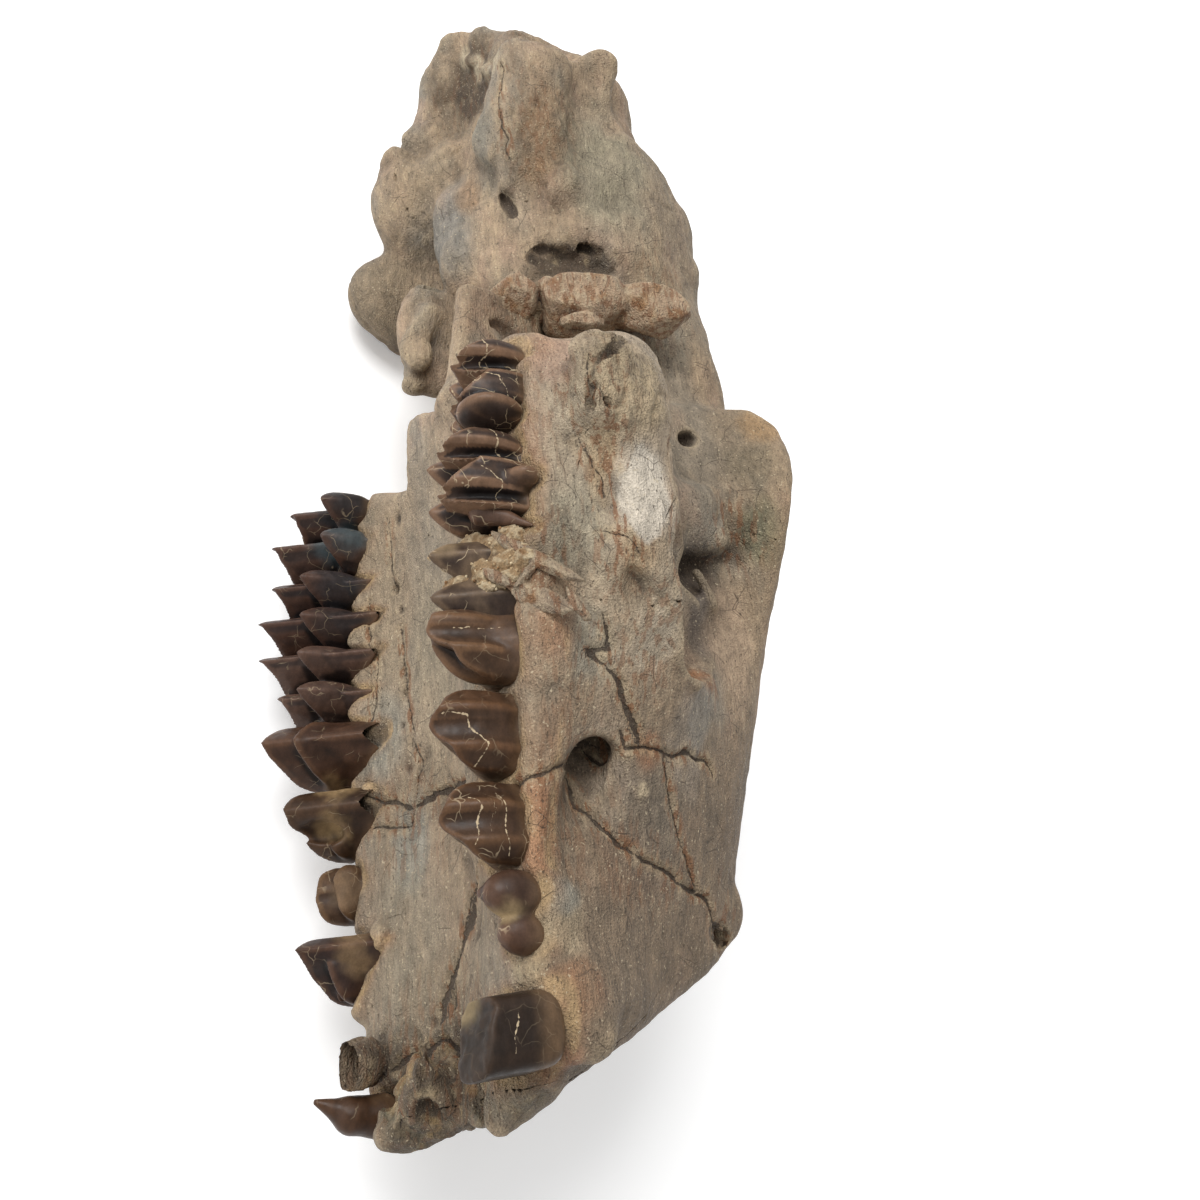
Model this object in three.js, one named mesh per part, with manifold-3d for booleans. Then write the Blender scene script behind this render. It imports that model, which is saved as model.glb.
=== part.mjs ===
// Fossil oreodont skull at life size, lying where it rests. Millimetres, Z up.
// It is shaped in its own frame first (X to the snout, Y to its left, Z to its crown),
// then turned as one group onto the ground.
import * as THREE from 'three';
import Module from 'manifold-3d';
import { edgeTable, triTable } from 'three/addons/objects/MarchingCubes.js';
import { SimplifyModifier } from 'three/addons/modifiers/SimplifyModifier.js';
import { ConvexGeometry } from 'three/addons/geometries/ConvexGeometry.js';
import { mergeVertices } from 'three/addons/utils/BufferGeometryUtils.js';

const wasm = await Module();
wasm.setup();
const { Manifold, Mesh } = wasm;

// ---- sizes
const GRID = 2.2; // spacing of the samples the bone surface is drawn through
const FACETS = 4300; // triangles kept on the whole bone surface before it is parted
const SUTURE = 0.3; // gap between neighbouring bones
const WORN = 0.45; // depth of the small flats worn where the skull touches the ground
const LOW = [-126, -50, -4]; // corners of the space the bone fills
const HIGH = [126, 50, 86];

// ---- solids described by the distance to their surface, negative inside
const clamp = (v, a, b) => Math.min(b, Math.max(a, v));
const ball = (c, r) => (x, y, z) => {
  const px = (x - c[0]) / r[0];
  const py = (y - c[1]) / r[1];
  const pz = (z - c[2]) / r[2];
  const near = Math.hypot(px, py, pz);
  const steep = Math.hypot(px / r[0], py / r[1], pz / r[2]);
  return steep < 1e-9 ? -Math.min(...r) : (near * (near - 1)) / steep;
};
const rod = (a, b, ra, rb) => {
  const d = [b[0] - a[0], b[1] - a[1], b[2] - a[2]];
  const long = d[0] * d[0] + d[1] * d[1] + d[2] * d[2];
  return (x, y, z) => {
    const p = [x - a[0], y - a[1], z - a[2]];
    const t = clamp((p[0] * d[0] + p[1] * d[1] + p[2] * d[2]) / long, 0, 1);
    return Math.hypot(p[0] - t * d[0], p[1] - t * d[1], p[2] - t * d[2]) - ra - (rb - ra) * t;
  };
};
// A plate of bone: its middle runs from a to b, it reaches `half` to each side along `lean`.
const blade = (a, b, lean, half, thick) => {
  const d = [b[0] - a[0], b[1] - a[1], b[2] - a[2]];
  const k = d[0] * lean[0] + d[1] * lean[1] + d[2] * lean[2];
  const e = [d[0] - k * lean[0], d[1] - k * lean[1], d[2] - k * lean[2]];
  const long = e[0] * e[0] + e[1] * e[1] + e[2] * e[2];
  return (x, y, z) => {
    const p = [x - a[0], y - a[1], z - a[2]];
    const t = clamp((p[0] * e[0] + p[1] * e[1] + p[2] * e[2]) / long, 0, 1);
    const q = [p[0] - t * d[0], p[1] - t * d[1], p[2] - t * d[2]];
    const s = clamp(q[0] * lean[0] + q[1] * lean[1] + q[2] * lean[2], -half, half);
    return Math.hypot(q[0] - s * lean[0], q[1] - s * lean[1], q[2] - s * lean[2]) - thick;
  };
};
const softMin = (a, b, k) => {
  const h = Math.max(k - Math.abs(a - b), 0) / k;
  return Math.min(a, b) - h * h * k * 0.25;
};
const softMax = (a, b, k) => -softMin(-a, -b, k);
const join = (k, ...shapes) => (x, y, z) => shapes.reduce((v, f) => softMin(v, f(x, y, z), k), 1e3);
const carve = (k, body, ...holes) => (x, y, z) =>
  holes.reduce((v, f) => softMax(v, -f(x, y, z), k), body(x, y, z));
const both = (f) => (x, y, z) => f(x, Math.abs(y), z);
const right = (f) => (x, y, z) => f(x, -y, z);

// A smooth line through [place, value] stations.
const along = (s) => {
  const n = s.length - 1;
  const slope = (j) => {
    const a = s[Math.max(j - 1, 0)];
    const b = s[Math.min(j + 1, n)];
    return (b[1] - a[1]) / (b[0] - a[0]);
  };
  return (x) => {
    if (x <= s[0][0]) return s[0][1];
    if (x >= s[n][0]) return s[n][1];
    let i = 0;
    while (x > s[i + 1][0]) i++;
    const h = s[i + 1][0] - s[i][0];
    const t = (x - s[i][0]) / h;
    const c = 3 * t * t - 2 * t * t * t;
    const bend = t * (1 - t) * h * ((1 - t) * slope(i) - t * slope(i + 1));
    return s[i][1] + c * (s[i + 1][1] - s[i][1]) + bend;
  };
};

// ---- the face: half widths at five heights, from the rear of the palate to the snout
const gumHalf = along([
  [-8, 30], [10, 35], [22, 34.5], [37, 33.5], [51, 29.5], [62, 26], [75, 23.5], [87, 22],
  [98, 22.5], [107, 24.5], [113, 20], [118, 11], [122, 6],
]);
const cheekHalf = along([
  [-8, 33], [10, 38], [30, 39.5], [45, 37], [60, 32], [70, 28.5], [80, 25.5], [95, 23.5],
  [105, 23.5], [113, 16], [122, 8],
]);
const ridgeHalf = along([
  [-8, 33], [10, 36], [30, 36], [48, 35.5], [60, 32], [68, 28], [80, 24.5], [95, 20.5], [105, 17.5], [113, 12],
]);
const hollowHalf = along([[-8, 24], [16, 27], [30, 25], [45, 26], [60, 25], [75, 22], [90, 19], [105, 16]]);
const eaveHalf = along([
  [-8, 31], [2, 35], [10, 37.5], [20, 37], [32, 32], [40, 29], [60, 25], [80, 20], [96, 17], [106, 13],
]);
const eaveHeight = along([[-8, 60], [10, 58], [20, 56], [40, 54], [60, 50], [80, 45.5], [97, 41.5], [106, 38]]);
const roofRise = along([[-8, 10], [20, 9], [60, 8], [97, 6]]);
const palateEnd = along([[-24, -2], [-4, -2], [1, -6], [3, 8], [6, 9], [18, 4], [40, 3]]);
const face = (x, y, z) => {
  const eave = eaveHeight(x);
  const half = along([
    [0, gumHalf(x)], [15, cheekHalf(x)], [26, ridgeHalf(x)],
    [Math.min(41, eave - 6), hollowHalf(x)], [eave, eaveHalf(x)],
  ])(z);
  const side = (Math.abs(y) - half) * 0.82;
  const roof = (z - eave - roofRise(x) * (1 - (y / eaveHalf(x)) ** 2)) * 0.9;
  const vault = 5.5 * clamp(1 - (y / (gumHalf(x) - 12)) ** 2, 0, 1);
  const snout = (x + 0.53 * z - 120) * 0.87;
  const rear = softMin(palateEnd(y) - x, softMax(34 - z, -5 - x, 6), 4);
  const wall = softMax(softMax(side, roof, 5), (vault - z) * 0.8, 4);
  return softMax(wall, softMax(snout, rear, 3), 3);
};

// ---- the braincase and what stands on it
const cranium = join(9,
  ball([-58, 0, 43], [45, 28, 26]),
  ball([-18, 0, 52], [34, 24, 17]),
  rod([-102, 0, 27], [-20, 0, 21], 9, 8),
  blade([-22, 0, 20], [4, 0, 24], [0, 0, 1], 14, 10));
const crestTop = along([[-112, 60], [-99, 72], [-79, 78], [-56, 75], [-34, 70]]);
const crest = (x, y, z) => {
  const flank = Math.abs(y) - 1.7 - Math.max(0, 74 - z) * 0.12;
  const ends = softMax(x + 26, Math.max(-106 - x, 50 - z), 2);
  return softMax(softMax(flank, z - crestTop(x), 2), ends, 2);
};
const occiput = join(6,
  ball([-98, 0, 40], [11, 21, 18]),
  rod([-96, -11, 29], [-99, -12, 26], 7, 6.5),
  rod([-102, 8, 26], [-113, 4, 23], 7, 7),
  rod([-82, -24, 34], [-87, -25, 38], 6, 5.5),
  rod([-84, 24, 36], [-88, 22, 26], 7, 6),
  rod([-88, 21, 22], [-96, 19, 14], 7, 5),
  rod([-97, 17, 16], [-108, 9, 18], 6, 6.5),
  rod([-86, -19, 24], [-89, -18, 18], 6, 4));
const glenoid = join(5,
  blade([-60, 22, 22], [-60, 32, 20], [1, 0, 0], 8, 5),
  ball([-57, 29, 15], [11, 8, 10]));
const earBones = join(6, ball([-80, 19, 15], [17, 9, 10]), ball([-78, -14, 22], [15, 9, 8]));
const wings = join(3,
  blade([-18, 12, 12], [-46, 11, 15], [0, 0, 1], 6, 1.8),
  blade([2, -12, 8], [-34, -11, 15], [0, 0, 1], 7, 2),
  rod([-36, 11, 13], [-18, 12, 7], 2, 2.4));
const cheekRoot = join(4,
  rod([0, 36, 18], [18, 36, 14], 6, 9),
  rod([18, 36, 15], [46, 34, 17], 8, 6),
  ball([8, 39, 17], [9, 5, 8]),
  ball([18, 40, 11], [7, 4.5, 6]));
const matrix = join(2,
  ball([-27, 12, 19], [6, 6, 6]),
  ball([-25, 17, 26], [6, 7, 7]),
  ball([-24, 22, 34], [6, 6, 7]),
  ball([-26, 24, 43], [6, 6, 6]));

// ---- the hollows
const orbit = both(join(6, ball([3, 47, 40], [23, 21, 15]), ball([-18, 44, 34], [22, 22, 26])));
const tearPit = both(ball([32, 32, 43], [9, 10, 8]));
const nose = join(8, rod([122, 0, 26], [86, 0, 24], 12, 9), rod([112, 0, 34], [84, 0, 31], 9, 8));
const throat = ball([-20, 0, 10], [24, 8, 10]);
const spine = ball([-112, -2, 30], [10, 7, 7]);
const recess = right(ball([-38, 24, 26], [8, 6, 8]));
const nerveHole = both(join(2, rod([83, 28.5, 7], [68, 25, 12], 4.4, 3.4), ball([80, 28, 9], [9, 2.5, 5])));
const snoutNotch = rod([124, -6, 1], [111, -4, 2], 2.4, 1.4);

const skull = carve(4,
  join(6,
    carve(5, join(7, face, cranium), orbit, tearPit),
    crest, occiput, glenoid, earBones, wings, right(cheekRoot), right(matrix)),
  nose, throat, spine, recess, nerveHole, snoutNotch);

// ---- from distances to a closed surface
const CORNERS = [[0, 0, 0], [1, 0, 0], [1, 1, 0], [0, 1, 0], [0, 0, 1], [1, 0, 1], [1, 1, 1], [0, 1, 1]];
const EDGES = [[0, 1], [1, 2], [3, 2], [0, 3], [4, 5], [5, 6], [7, 6], [4, 7], [0, 4], [1, 5], [2, 6], [3, 7]];
function surfaceOf(field) {
  const n = LOW.map((v, k) => Math.ceil((HIGH[k] - v) / GRID) + 1);
  const at = (i, j, k) => i + n[0] * (j + n[1] * k);
  const value = new Float32Array(n[0] * n[1] * n[2]);
  for (let k = 0; k < n[2]; k++) {
    for (let j = 0; j < n[1]; j++) {
      for (let i = 0; i < n[0]; i++) {
        value[at(i, j, k)] = field(LOW[0] + i * GRID, LOW[1] + j * GRID, LOW[2] + k * GRID);
      }
    }
  }
  const places = [];
  const faces = [];
  const made = new Map();
  const crossing = (i, j, k, edge) => {
    const [p, q] = EDGES[edge].map((c) => CORNERS[c].map((v, m) => v + [i, j, k][m]));
    const key = at(...p) * 3 + EDGES[edge].map((c) => CORNERS[c]).reduce((a, b) => b.findIndex((v, m) => v !== a[m]));
    if (!made.has(key)) {
      const a = value[at(...p)];
      const b = value[at(...q)];
      const t = clamp(a / (a - b), 0.06, 0.94);
      made.set(key, places.length / 3);
      p.forEach((v, m) => places.push(LOW[m] + (v + t * (q[m] - v)) * GRID));
    }
    return made.get(key);
  };
  for (let k = 0; k < n[2] - 1; k++) {
    for (let j = 0; j < n[1] - 1; j++) {
      for (let i = 0; i < n[0] - 1; i++) {
        let kind = 0;
        CORNERS.forEach((c, m) => {
          if (value[at(i + c[0], j + c[1], k + c[2])] < 0) kind |= 1 << m;
        });
        if (edgeTable[kind] === 0) continue;
        for (let m = kind * 16; triTable[m] !== -1; m += 3) {
          faces.push(...[2, 1, 0].map((s) => crossing(i, j, k, triTable[m + s])));
        }
      }
    }
  }
  const g = new THREE.BufferGeometry();
  g.setAttribute('position', new THREE.Float32BufferAttribute(places, 3));
  g.setIndex(faces);
  return g;
}

const solidOf = (geometry) => {
  const g = new THREE.BufferGeometry();
  g.setAttribute('position', geometry.attributes.position);
  g.setIndex(geometry.index);
  const closed = mergeVertices(g, 1e-4);
  const mesh = new Mesh({
    numProp: 3,
    vertProperties: new Float32Array(closed.attributes.position.array),
    triVerts: new Uint32Array(closed.index.array),
  });
  mesh.merge();
  return Manifold.ofMesh(mesh);
};

// ---- teeth: pyramids of enamel standing on the gum line
// side is 1 on the left and -1 on the right; gum and inner are half widths, rise the gum height
const hull = (points) => solidOf(new ConvexGeometry(points.map((p) => new THREE.Vector3(...p))));
function cusps(side, rear, front, gum, inner, rise, tall, lobes, parts) {
  const long = (front - rear) / lobes;
  const solids = [];
  for (let k = 0; k < lobes; k++) {
    const a = rear + k * long;
    const b = a + long;
    const m = (a + b) / 2;
    const deep = rise + 4;
    const low = rise - 0.3 * tall;
    const mid = (gum + inner) / 2;
    if (parts.includes('outer')) {
      solids.push(hull([
        [a + 0.2, gum - 1, deep], [b - 0.2, gum - 1, deep], [a + 0.2, mid - 1, deep], [b - 0.2, mid - 1, deep],
        [a - 0.1, gum, low], [b + 0.1, gum, low], [m, gum + 0.4, low + 0.5],
        [a + 0.6, gum - 2.8, rise - 0.62 * tall], [b - 0.6, gum - 2.8, rise - 0.62 * tall],
        [m, gum - 4.2, rise - tall], [a + 1.2, mid - 1.5, low], [b - 1.2, mid - 1.5, low],
      ].map((p) => [p[0], side * p[1], p[2]])));
    }
    if (parts.includes('inner')) {
      solids.push(hull([
        [a + 0.6, inner + 1, deep], [b - 0.6, inner + 1, deep], [a + 0.6, mid, deep], [b - 0.6, mid, deep],
        [a + 0.9, inner + 0.4, low], [b - 0.9, inner + 0.4, low], [m, inner - 0.5, low],
        [m, inner + 2.6, rise - 0.86 * tall], [a + 0.7, mid, rise - 0.5 * tall], [b - 0.7, mid, rise - 0.5 * tall],
      ].map((p) => [p[0], side * p[1], p[2]])));
    }
  }
  return solids;
}
const full = ['outer', 'inner'];
const teethOf = {
  maxilla_right: [
    ...cusps(-1, 1, 19.6, 34, 17, 2, 9.5, 2, full),
    ...cusps(-1, 20, 35.6, 34, 17, 0.5, 11, 2, full),
    ...cusps(-1, 36, 50.6, 32, 17, 0, 11, 2, ['inner']),
    ...cusps(-1, 36.4, 50.4, 33, 17, 0, 3.5, 1, ['outer']),
    ...cusps(-1, 51, 61.6, 28, 17, 0, 11.5, 1, full),
    ...cusps(-1, 62.4, 74.6, 25.4, 16, 0, 11.5, 1, full),
    ...cusps(-1, 76, 86.6, 24, 15.5, 0, 10.5, 1, full),
    ...cusps(-1, 89, 97.8, 23, 16, 0, 4.5, 2, ['outer']),
  ],
  maxilla_left: [
    ...cusps(1, 5, 22.6, 34, 17, 2, 9.5, 2, full),
    ...cusps(1, 23, 38.6, 35, 18, 0.5, 12, 2, full),
    ...cusps(1, 39, 51.8, 33, 18, 0, 12, 2, full),
    ...cusps(1, 52.4, 62.4, 30, 17, 0, 13, 1, full),
    ...cusps(1, 63.4, 73.6, 27, 18, 0, 10.5, 1, full),
    ...cusps(1, 75, 84.6, 25, 18, 0, 6.5, 1, full),
    ...cusps(1, 86, 96, 25, 18, 0, 9, 1, full),
  ],
};
for (const [name, side, tip] of [['maxilla_right', -1, -8], ['maxilla_left', 1, -9]]) {
  const stump = new THREE.CylinderGeometry(4.4, 4.9, 14, 10);
  stump.rotateX(-Math.PI / 2 - side * 0.12);
  stump.translate(108, side * 19.8, tip + 7);
  teethOf[name].push(solidOf(stump));
}

// ---- parting the surface into bones
// A prism over an outline of [x, z] points, from y0 across to y1.
const prism = (outline, y0, y1) => {
  const shape = new THREE.Shape(outline.map((p) => new THREE.Vector2(...p)));
  const g = new THREE.ExtrudeGeometry(shape, { depth: y1 - y0, bevelEnabled: false });
  g.rotateX(Math.PI / 2);
  g.translate(0, y1, 0);
  return solidOf(g);
};
// The outline, drawn anticlockwise, moved outwards by a gap.
const widened = (outline, gap) => outline.map((p, k) => {
  const last = outline[(k + outline.length - 1) % outline.length];
  const next = outline[(k + 1) % outline.length];
  const a = new THREE.Vector2(p[1] - last[1], last[0] - p[0]).normalize();
  const b = new THREE.Vector2(next[1] - p[1], p[0] - next[0]).normalize();
  const turn = gap / (1 + a.dot(b));
  return [p[0] + (a.x + b.x) * turn, p[1] + (a.y + b.y) * turn];
});
const biggest = (solid) => solid.decompose().sort((a, b) => b.volume() - a.volume())[0];
const bones = {};
function partOff(from, name, outline, y0, y1) {
  const whole = bones[from];
  bones[name] = biggest(whole.intersect(prism(outline, y0, y1)));
  bones[from] = biggest(whole.subtract(prism(widened(outline, SUTURE), y0 - SUTURE, y1 + SUTURE)));
}

const drawn = surfaceOf(skull);
const spare = drawn.attributes.position.count - Math.round(FACETS / 2);
bones.sphenoid = solidOf(await new SimplifyModifier().modify(drawn, spare));
partOff('sphenoid', 'face', [[-20, 36], [-5, 30], [-5, -20], [130, -20], [130, 90], [-20, 90]], -60, 60);
for (const [side, near, far] of [['right', -60, -SUTURE / 2], ['left', SUTURE / 2, 60]]) {
  const maxilla = 'maxilla_' + side;
  bones[maxilla] = biggest(bones.face.intersect(prism([[-30, -20], [130, -20], [130, 90], [-30, 90]], near, far)));
  partOff(maxilla, 'frontal_' + side, [[-30, 37], [22, 39], [40, 95], [-30, 95]], near, far);
  partOff(maxilla, 'nasal_' + side,
    [[20, 57], [60, 52], [80, 47], [112, 36], [130, 36], [130, 95], [20, 95]], -11, 11);
  partOff(maxilla, 'premaxilla_' + side,
    [[114.6, -15], [130, -15], [130, 60], [76, 60], [80, 44], [96, 34], [113.6, 8]], near, far);
  partOff(maxilla, 'palatine_' + side, [[-30, -20], [22, -20], [22, 9], [-30, 9]], -15, 15);
}
delete bones.face;
partOff('maxilla_right', 'jugal_right', [[-30, 6], [50, 6], [50, 32], [-30, 32]], -60, -33.3);
partOff('sphenoid', 'occipital', [[-84, -20], [-92, 30], [-92, 95], [-140, 95], [-140, -20]], -60, 60);
partOff('sphenoid', 'parietal', [[-140, 42], [10, 42], [10, 95], [-140, 95]], -60, 60);
partOff('sphenoid', 'squamosal_left', [[-140, -20], [-45, -20], [-45, 60], [-140, 60]], 13, 60);
partOff('sphenoid', 'squamosal_right', [[-140, -20], [-45, -20], [-45, 60], [-140, 60]], -60, -13);
for (const name of Object.keys(bones)) bones[name] = bones[name].simplify(0.04);
for (const [name, teeth] of Object.entries(teethOf)) {
  bones[name] = Manifold.union([bones[name], ...teeth]);
}

// ---- laying it down
const UP = new THREE.Vector3(0.016, -0.996, -0.086).normalize(); // the side that faces up at rest
const ahead = new THREE.Vector3(1, 0, 0).addScaledVector(UP, -UP.x).normalize();
const across = new THREE.Vector3().crossVectors(UP, ahead);
const turn = new THREE.Matrix4().makeBasis(ahead, across, UP).transpose();
for (const name of Object.keys(bones)) bones[name] = bones[name].transform(turn.elements);
const reach = Object.values(bones).map((b) => b.boundingBox());
const mid = (k) => (Math.min(...reach.map((b) => b.min[k])) + Math.max(...reach.map((b) => b.max[k]))) / 2;
const floor = Math.min(...reach.map((b) => b.min[2])) + WORN;
const below = new THREE.BoxGeometry(400, 400, 100).translate(0, 0, -50);
const ground = solidOf(below);

// ---- the part
const TONES = {
  sphenoid: '#9c8b75',
  maxilla_right: '#a08f7b',
  frontal_right: '#998972',
  nasal_right: '#93826d',
  premaxilla_right: '#8a7a64',
  palatine_right: '#a3947d',
  maxilla_left: '#9f8f7a',
  frontal_left: '#988871',
  nasal_left: '#92816c',
  premaxilla_left: '#8c7a65',
  palatine_left: '#a2927b',
  jugal_right: '#b0a18c',
  occipital: '#a08d73',
  parietal: '#978873',
  squamosal_left: '#a8967f',
  squamosal_right: '#a29078',
};
const part = new THREE.Group();
part.name = 'oreodont_skull';
for (const [name, bone] of Object.entries(bones)) {
  const laid = bone.translate([-mid(0), -mid(1), -floor]);
  const { vertProperties, triVerts } = (laid.boundingBox().min[2] < 0 ? laid.subtract(ground) : laid).getMesh();
  const g = new THREE.BufferGeometry();
  g.setAttribute('position', new THREE.BufferAttribute(new Float32Array(vertProperties), 3));
  g.setIndex(new THREE.BufferAttribute(new Uint32Array(triVerts), 1));
  g.computeVertexNormals();
  const material = new THREE.MeshStandardMaterial({ color: TONES[name], roughness: 0.8, metalness: 0 });
  material.name = 'bone';
  const mesh = new THREE.Mesh(g, material);
  mesh.name = name;
  part.add(mesh);
}
export default part;
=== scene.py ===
"""Fossil oreodont skull at life size, lying on its left side.

Shapes are drawn in the skull's own frame in millimetres (x to the snout, y to the skull's left,
z to its crown) and are then turned and moved onto the ground, in metres.
"""

import math

import bpy
import numpy as np
from mathutils import Matrix, Vector


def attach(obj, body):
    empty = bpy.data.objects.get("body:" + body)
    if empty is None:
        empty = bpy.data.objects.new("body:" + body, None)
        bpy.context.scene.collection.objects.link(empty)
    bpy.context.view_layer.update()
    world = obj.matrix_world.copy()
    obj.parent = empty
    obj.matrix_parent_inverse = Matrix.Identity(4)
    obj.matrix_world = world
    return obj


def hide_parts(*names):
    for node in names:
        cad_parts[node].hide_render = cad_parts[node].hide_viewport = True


bl_info = {
    "name": "Fossil oreodont skull",
    "version": (1, 0, 0),
    "blender": (4, 5, 0),
    "location": "View3D > Sidebar > Skull",
    "description": "Builds a fossil oreodont skull, bone by bone, with its teeth and a stage",
    "category": "Add Mesh",
}

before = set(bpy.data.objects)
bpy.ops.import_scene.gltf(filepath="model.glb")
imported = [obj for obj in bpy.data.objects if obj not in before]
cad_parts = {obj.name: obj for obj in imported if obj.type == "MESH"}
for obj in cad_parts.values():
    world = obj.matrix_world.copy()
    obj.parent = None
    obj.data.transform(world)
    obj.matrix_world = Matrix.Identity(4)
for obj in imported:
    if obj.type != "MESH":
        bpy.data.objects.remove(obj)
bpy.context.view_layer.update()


def unit(v):
    """The direction of v, of length 1."""
    return v / np.linalg.norm(v)


MM = 0.001
UP = unit(np.array([0.016, -0.996, -0.086]))  # the side of the skull that faces up at rest
AHEAD = unit(np.array([1.0, 0.0, 0.0]) - UP[0] * UP)
TURN = np.array([AHEAD, np.cross(UP, AHEAD), UP])  # rows are the ground's x, y and z
SHIFT = np.array([0.647, -31.154, 39.873])  # where the skull's own origin lies on the ground
LOW = np.array([-126.0, -50.0, -6.0])  # corners of the space the bone fills
HIGH = np.array([126.0, 50.0, 86.0])


# ---- noise
def scatter(i, j, k, seed):
    """A repeatable number from 0 to 1 for each cell of a grid."""
    h = (i * 73856093) ^ (j * 19349663) ^ (k * 83492791) ^ (seed * 2654435761)
    h = (h ^ (h >> 13)) * 1274126177
    h = (h ^ (h >> 16)) & 0xFFFFFF
    return h.astype(np.float64) / 0xFFFFFF


def noise(p, size, seed=0):
    """Smooth value noise from -1 to 1 with features `size` mm across; size may differ by axis."""
    q = p / np.asarray(size, float)
    cell = np.floor(q).astype(np.int64)
    t = q - cell
    t = t * t * (3 - 2 * t)
    out = 0
    for corner in range(8):
        d = [(corner >> k) & 1 for k in range(3)]
        w = 1
        for k in range(3):
            w = w * (t[:, k] if d[k] else 1 - t[:, k])
        out = out + w * scatter(cell[:, 0] + d[0], cell[:, 1] + d[1], cell[:, 2] + d[2], seed)
    return out * 2 - 1


def layers(p, size, seed=0, count=3):
    """Noise in several layers, each half the size and half the height of the last."""
    total = 0
    for k in range(count):
        total = total + noise(p, np.asarray(size, float) / 2 ** k, seed + 17 * k) / 2 ** k
    return total / (2 - 0.5 ** (count - 1))


def cells(p, size, seed=0):
    """Distance to the nearest of the points scattered one to a cell, in cells."""
    q = p / np.asarray(size, float)
    cell = np.floor(q).astype(np.int64)
    best = np.full(len(p), 9.0)
    for i in (-1, 0, 1):
        for j in (-1, 0, 1):
            for k in (-1, 0, 1):
                c = cell + [i, j, k]
                d = 0
                for axis in range(3):
                    spot = c[:, axis] + scatter(c[:, 0], c[:, 1], c[:, 2], seed + axis)
                    d = d + (spot - q[:, axis]) ** 2
                best = np.minimum(best, d)
    return np.sqrt(best)


def smooth(a, b, v):
    """0 at a and before, 1 at b and after, and a smooth rise between."""
    t = np.clip((v - a) / (b - a), 0, 1)
    return t * t * (3 - 2 * t)


# ---- solids described by the distance to their surface, negative inside
def soft_min(a, b, k):
    """The smaller of two distances, blended over k mm: joins two solids with a fillet."""
    h = np.maximum(k - np.abs(a - b), 0) / k
    return np.minimum(a, b) - h * h * k * 0.25


def soft_max(a, b, k):
    """The larger of two distances, blended over k mm: keeps what two solids share."""
    return -soft_min(-a, -b, k)


def ball(c, r):
    """An ellipsoid with its middle at c and radii r."""
    def field(x, y, z):
        px, py, pz = (x - c[0]) / r[0], (y - c[1]) / r[1], (z - c[2]) / r[2]
        near = np.sqrt(px * px + py * py + pz * pz)
        steep = np.sqrt((px / r[0]) ** 2 + (py / r[1]) ** 2 + (pz / r[2]) ** 2)
        return near * (near - 1) / np.maximum(steep, 1e-6)
    return field


def rod(a, b, ra, rb):
    """A round-ended rod from a to b whose radius goes from ra to rb."""
    a, b = np.array(a, float), np.array(b, float)
    d = b - a
    long = d @ d

    def field(x, y, z):
        px, py, pz = x - a[0], y - a[1], z - a[2]
        t = np.clip((px * d[0] + py * d[1] + pz * d[2]) / long, 0, 1)
        away = np.sqrt((px - t * d[0]) ** 2 + (py - t * d[1]) ** 2 + (pz - t * d[2]) ** 2)
        return away - ra - (rb - ra) * t
    return field


def blade(a, b, lean, half, thick):
    """A plate of bone: its middle runs from a to b and it reaches `half` to each side along `lean`."""
    a, b, lean = np.array(a, float), np.array(b, float), np.array(lean, float)
    d = b - a
    e = d - (d @ lean) * lean
    long = e @ e

    def field(x, y, z):
        p = [x - a[0], y - a[1], z - a[2]]
        t = np.clip((p[0] * e[0] + p[1] * e[1] + p[2] * e[2]) / long, 0, 1)
        q = [p[k] - t * d[k] for k in range(3)]
        s = np.clip(q[0] * lean[0] + q[1] * lean[1] + q[2] * lean[2], -half, half)
        return np.sqrt(sum((q[k] - s * lean[k]) ** 2 for k in range(3))) - thick
    return field


def join(k, *shapes):
    """The shapes joined, with fillets of k mm."""
    def field(x, y, z):
        out = shapes[0](x, y, z)
        for shape in shapes[1:]:
            out = soft_min(out, shape(x, y, z), k)
        return out
    return field


def carve(k, body, *holes):
    """The body with the holes cut out of it, their edges rounded over k mm."""
    def field(x, y, z):
        out = body(x, y, z)
        for hole in holes:
            out = soft_max(out, -hole(x, y, z), k)
        return out
    return field


def both(shape):
    """A shape drawn on the left, on both sides."""
    return lambda x, y, z: shape(x, np.abs(y), z)


def right(shape):
    """A shape drawn on the left, on the right side only."""
    return lambda x, y, z: shape(x, -y, z)


def along(stations):
    """A smooth line through (place, value) stations."""
    places = np.array([s[0] for s in stations], float)
    values = np.array([s[1] for s in stations], float)
    last = len(places) - 1
    low = np.maximum(np.arange(last + 1) - 1, 0)
    high = np.minimum(np.arange(last + 1) + 1, last)
    slopes = (values[high] - values[low]) / (places[high] - places[low])

    def at(x):
        """The line's value at x, level beyond its ends."""
        x = np.clip(x, places[0], places[-1])
        i = np.clip(np.searchsorted(places, x, side="right") - 1, 0, last - 1)
        h = places[i + 1] - places[i]
        t = (x - places[i]) / h
        c = 3 * t * t - 2 * t ** 3
        bend = t * (1 - t) * h * ((1 - t) * slopes[i] - t * slopes[i + 1])
        return values[i] + c * (values[i + 1] - values[i]) + bend
    return at


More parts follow.
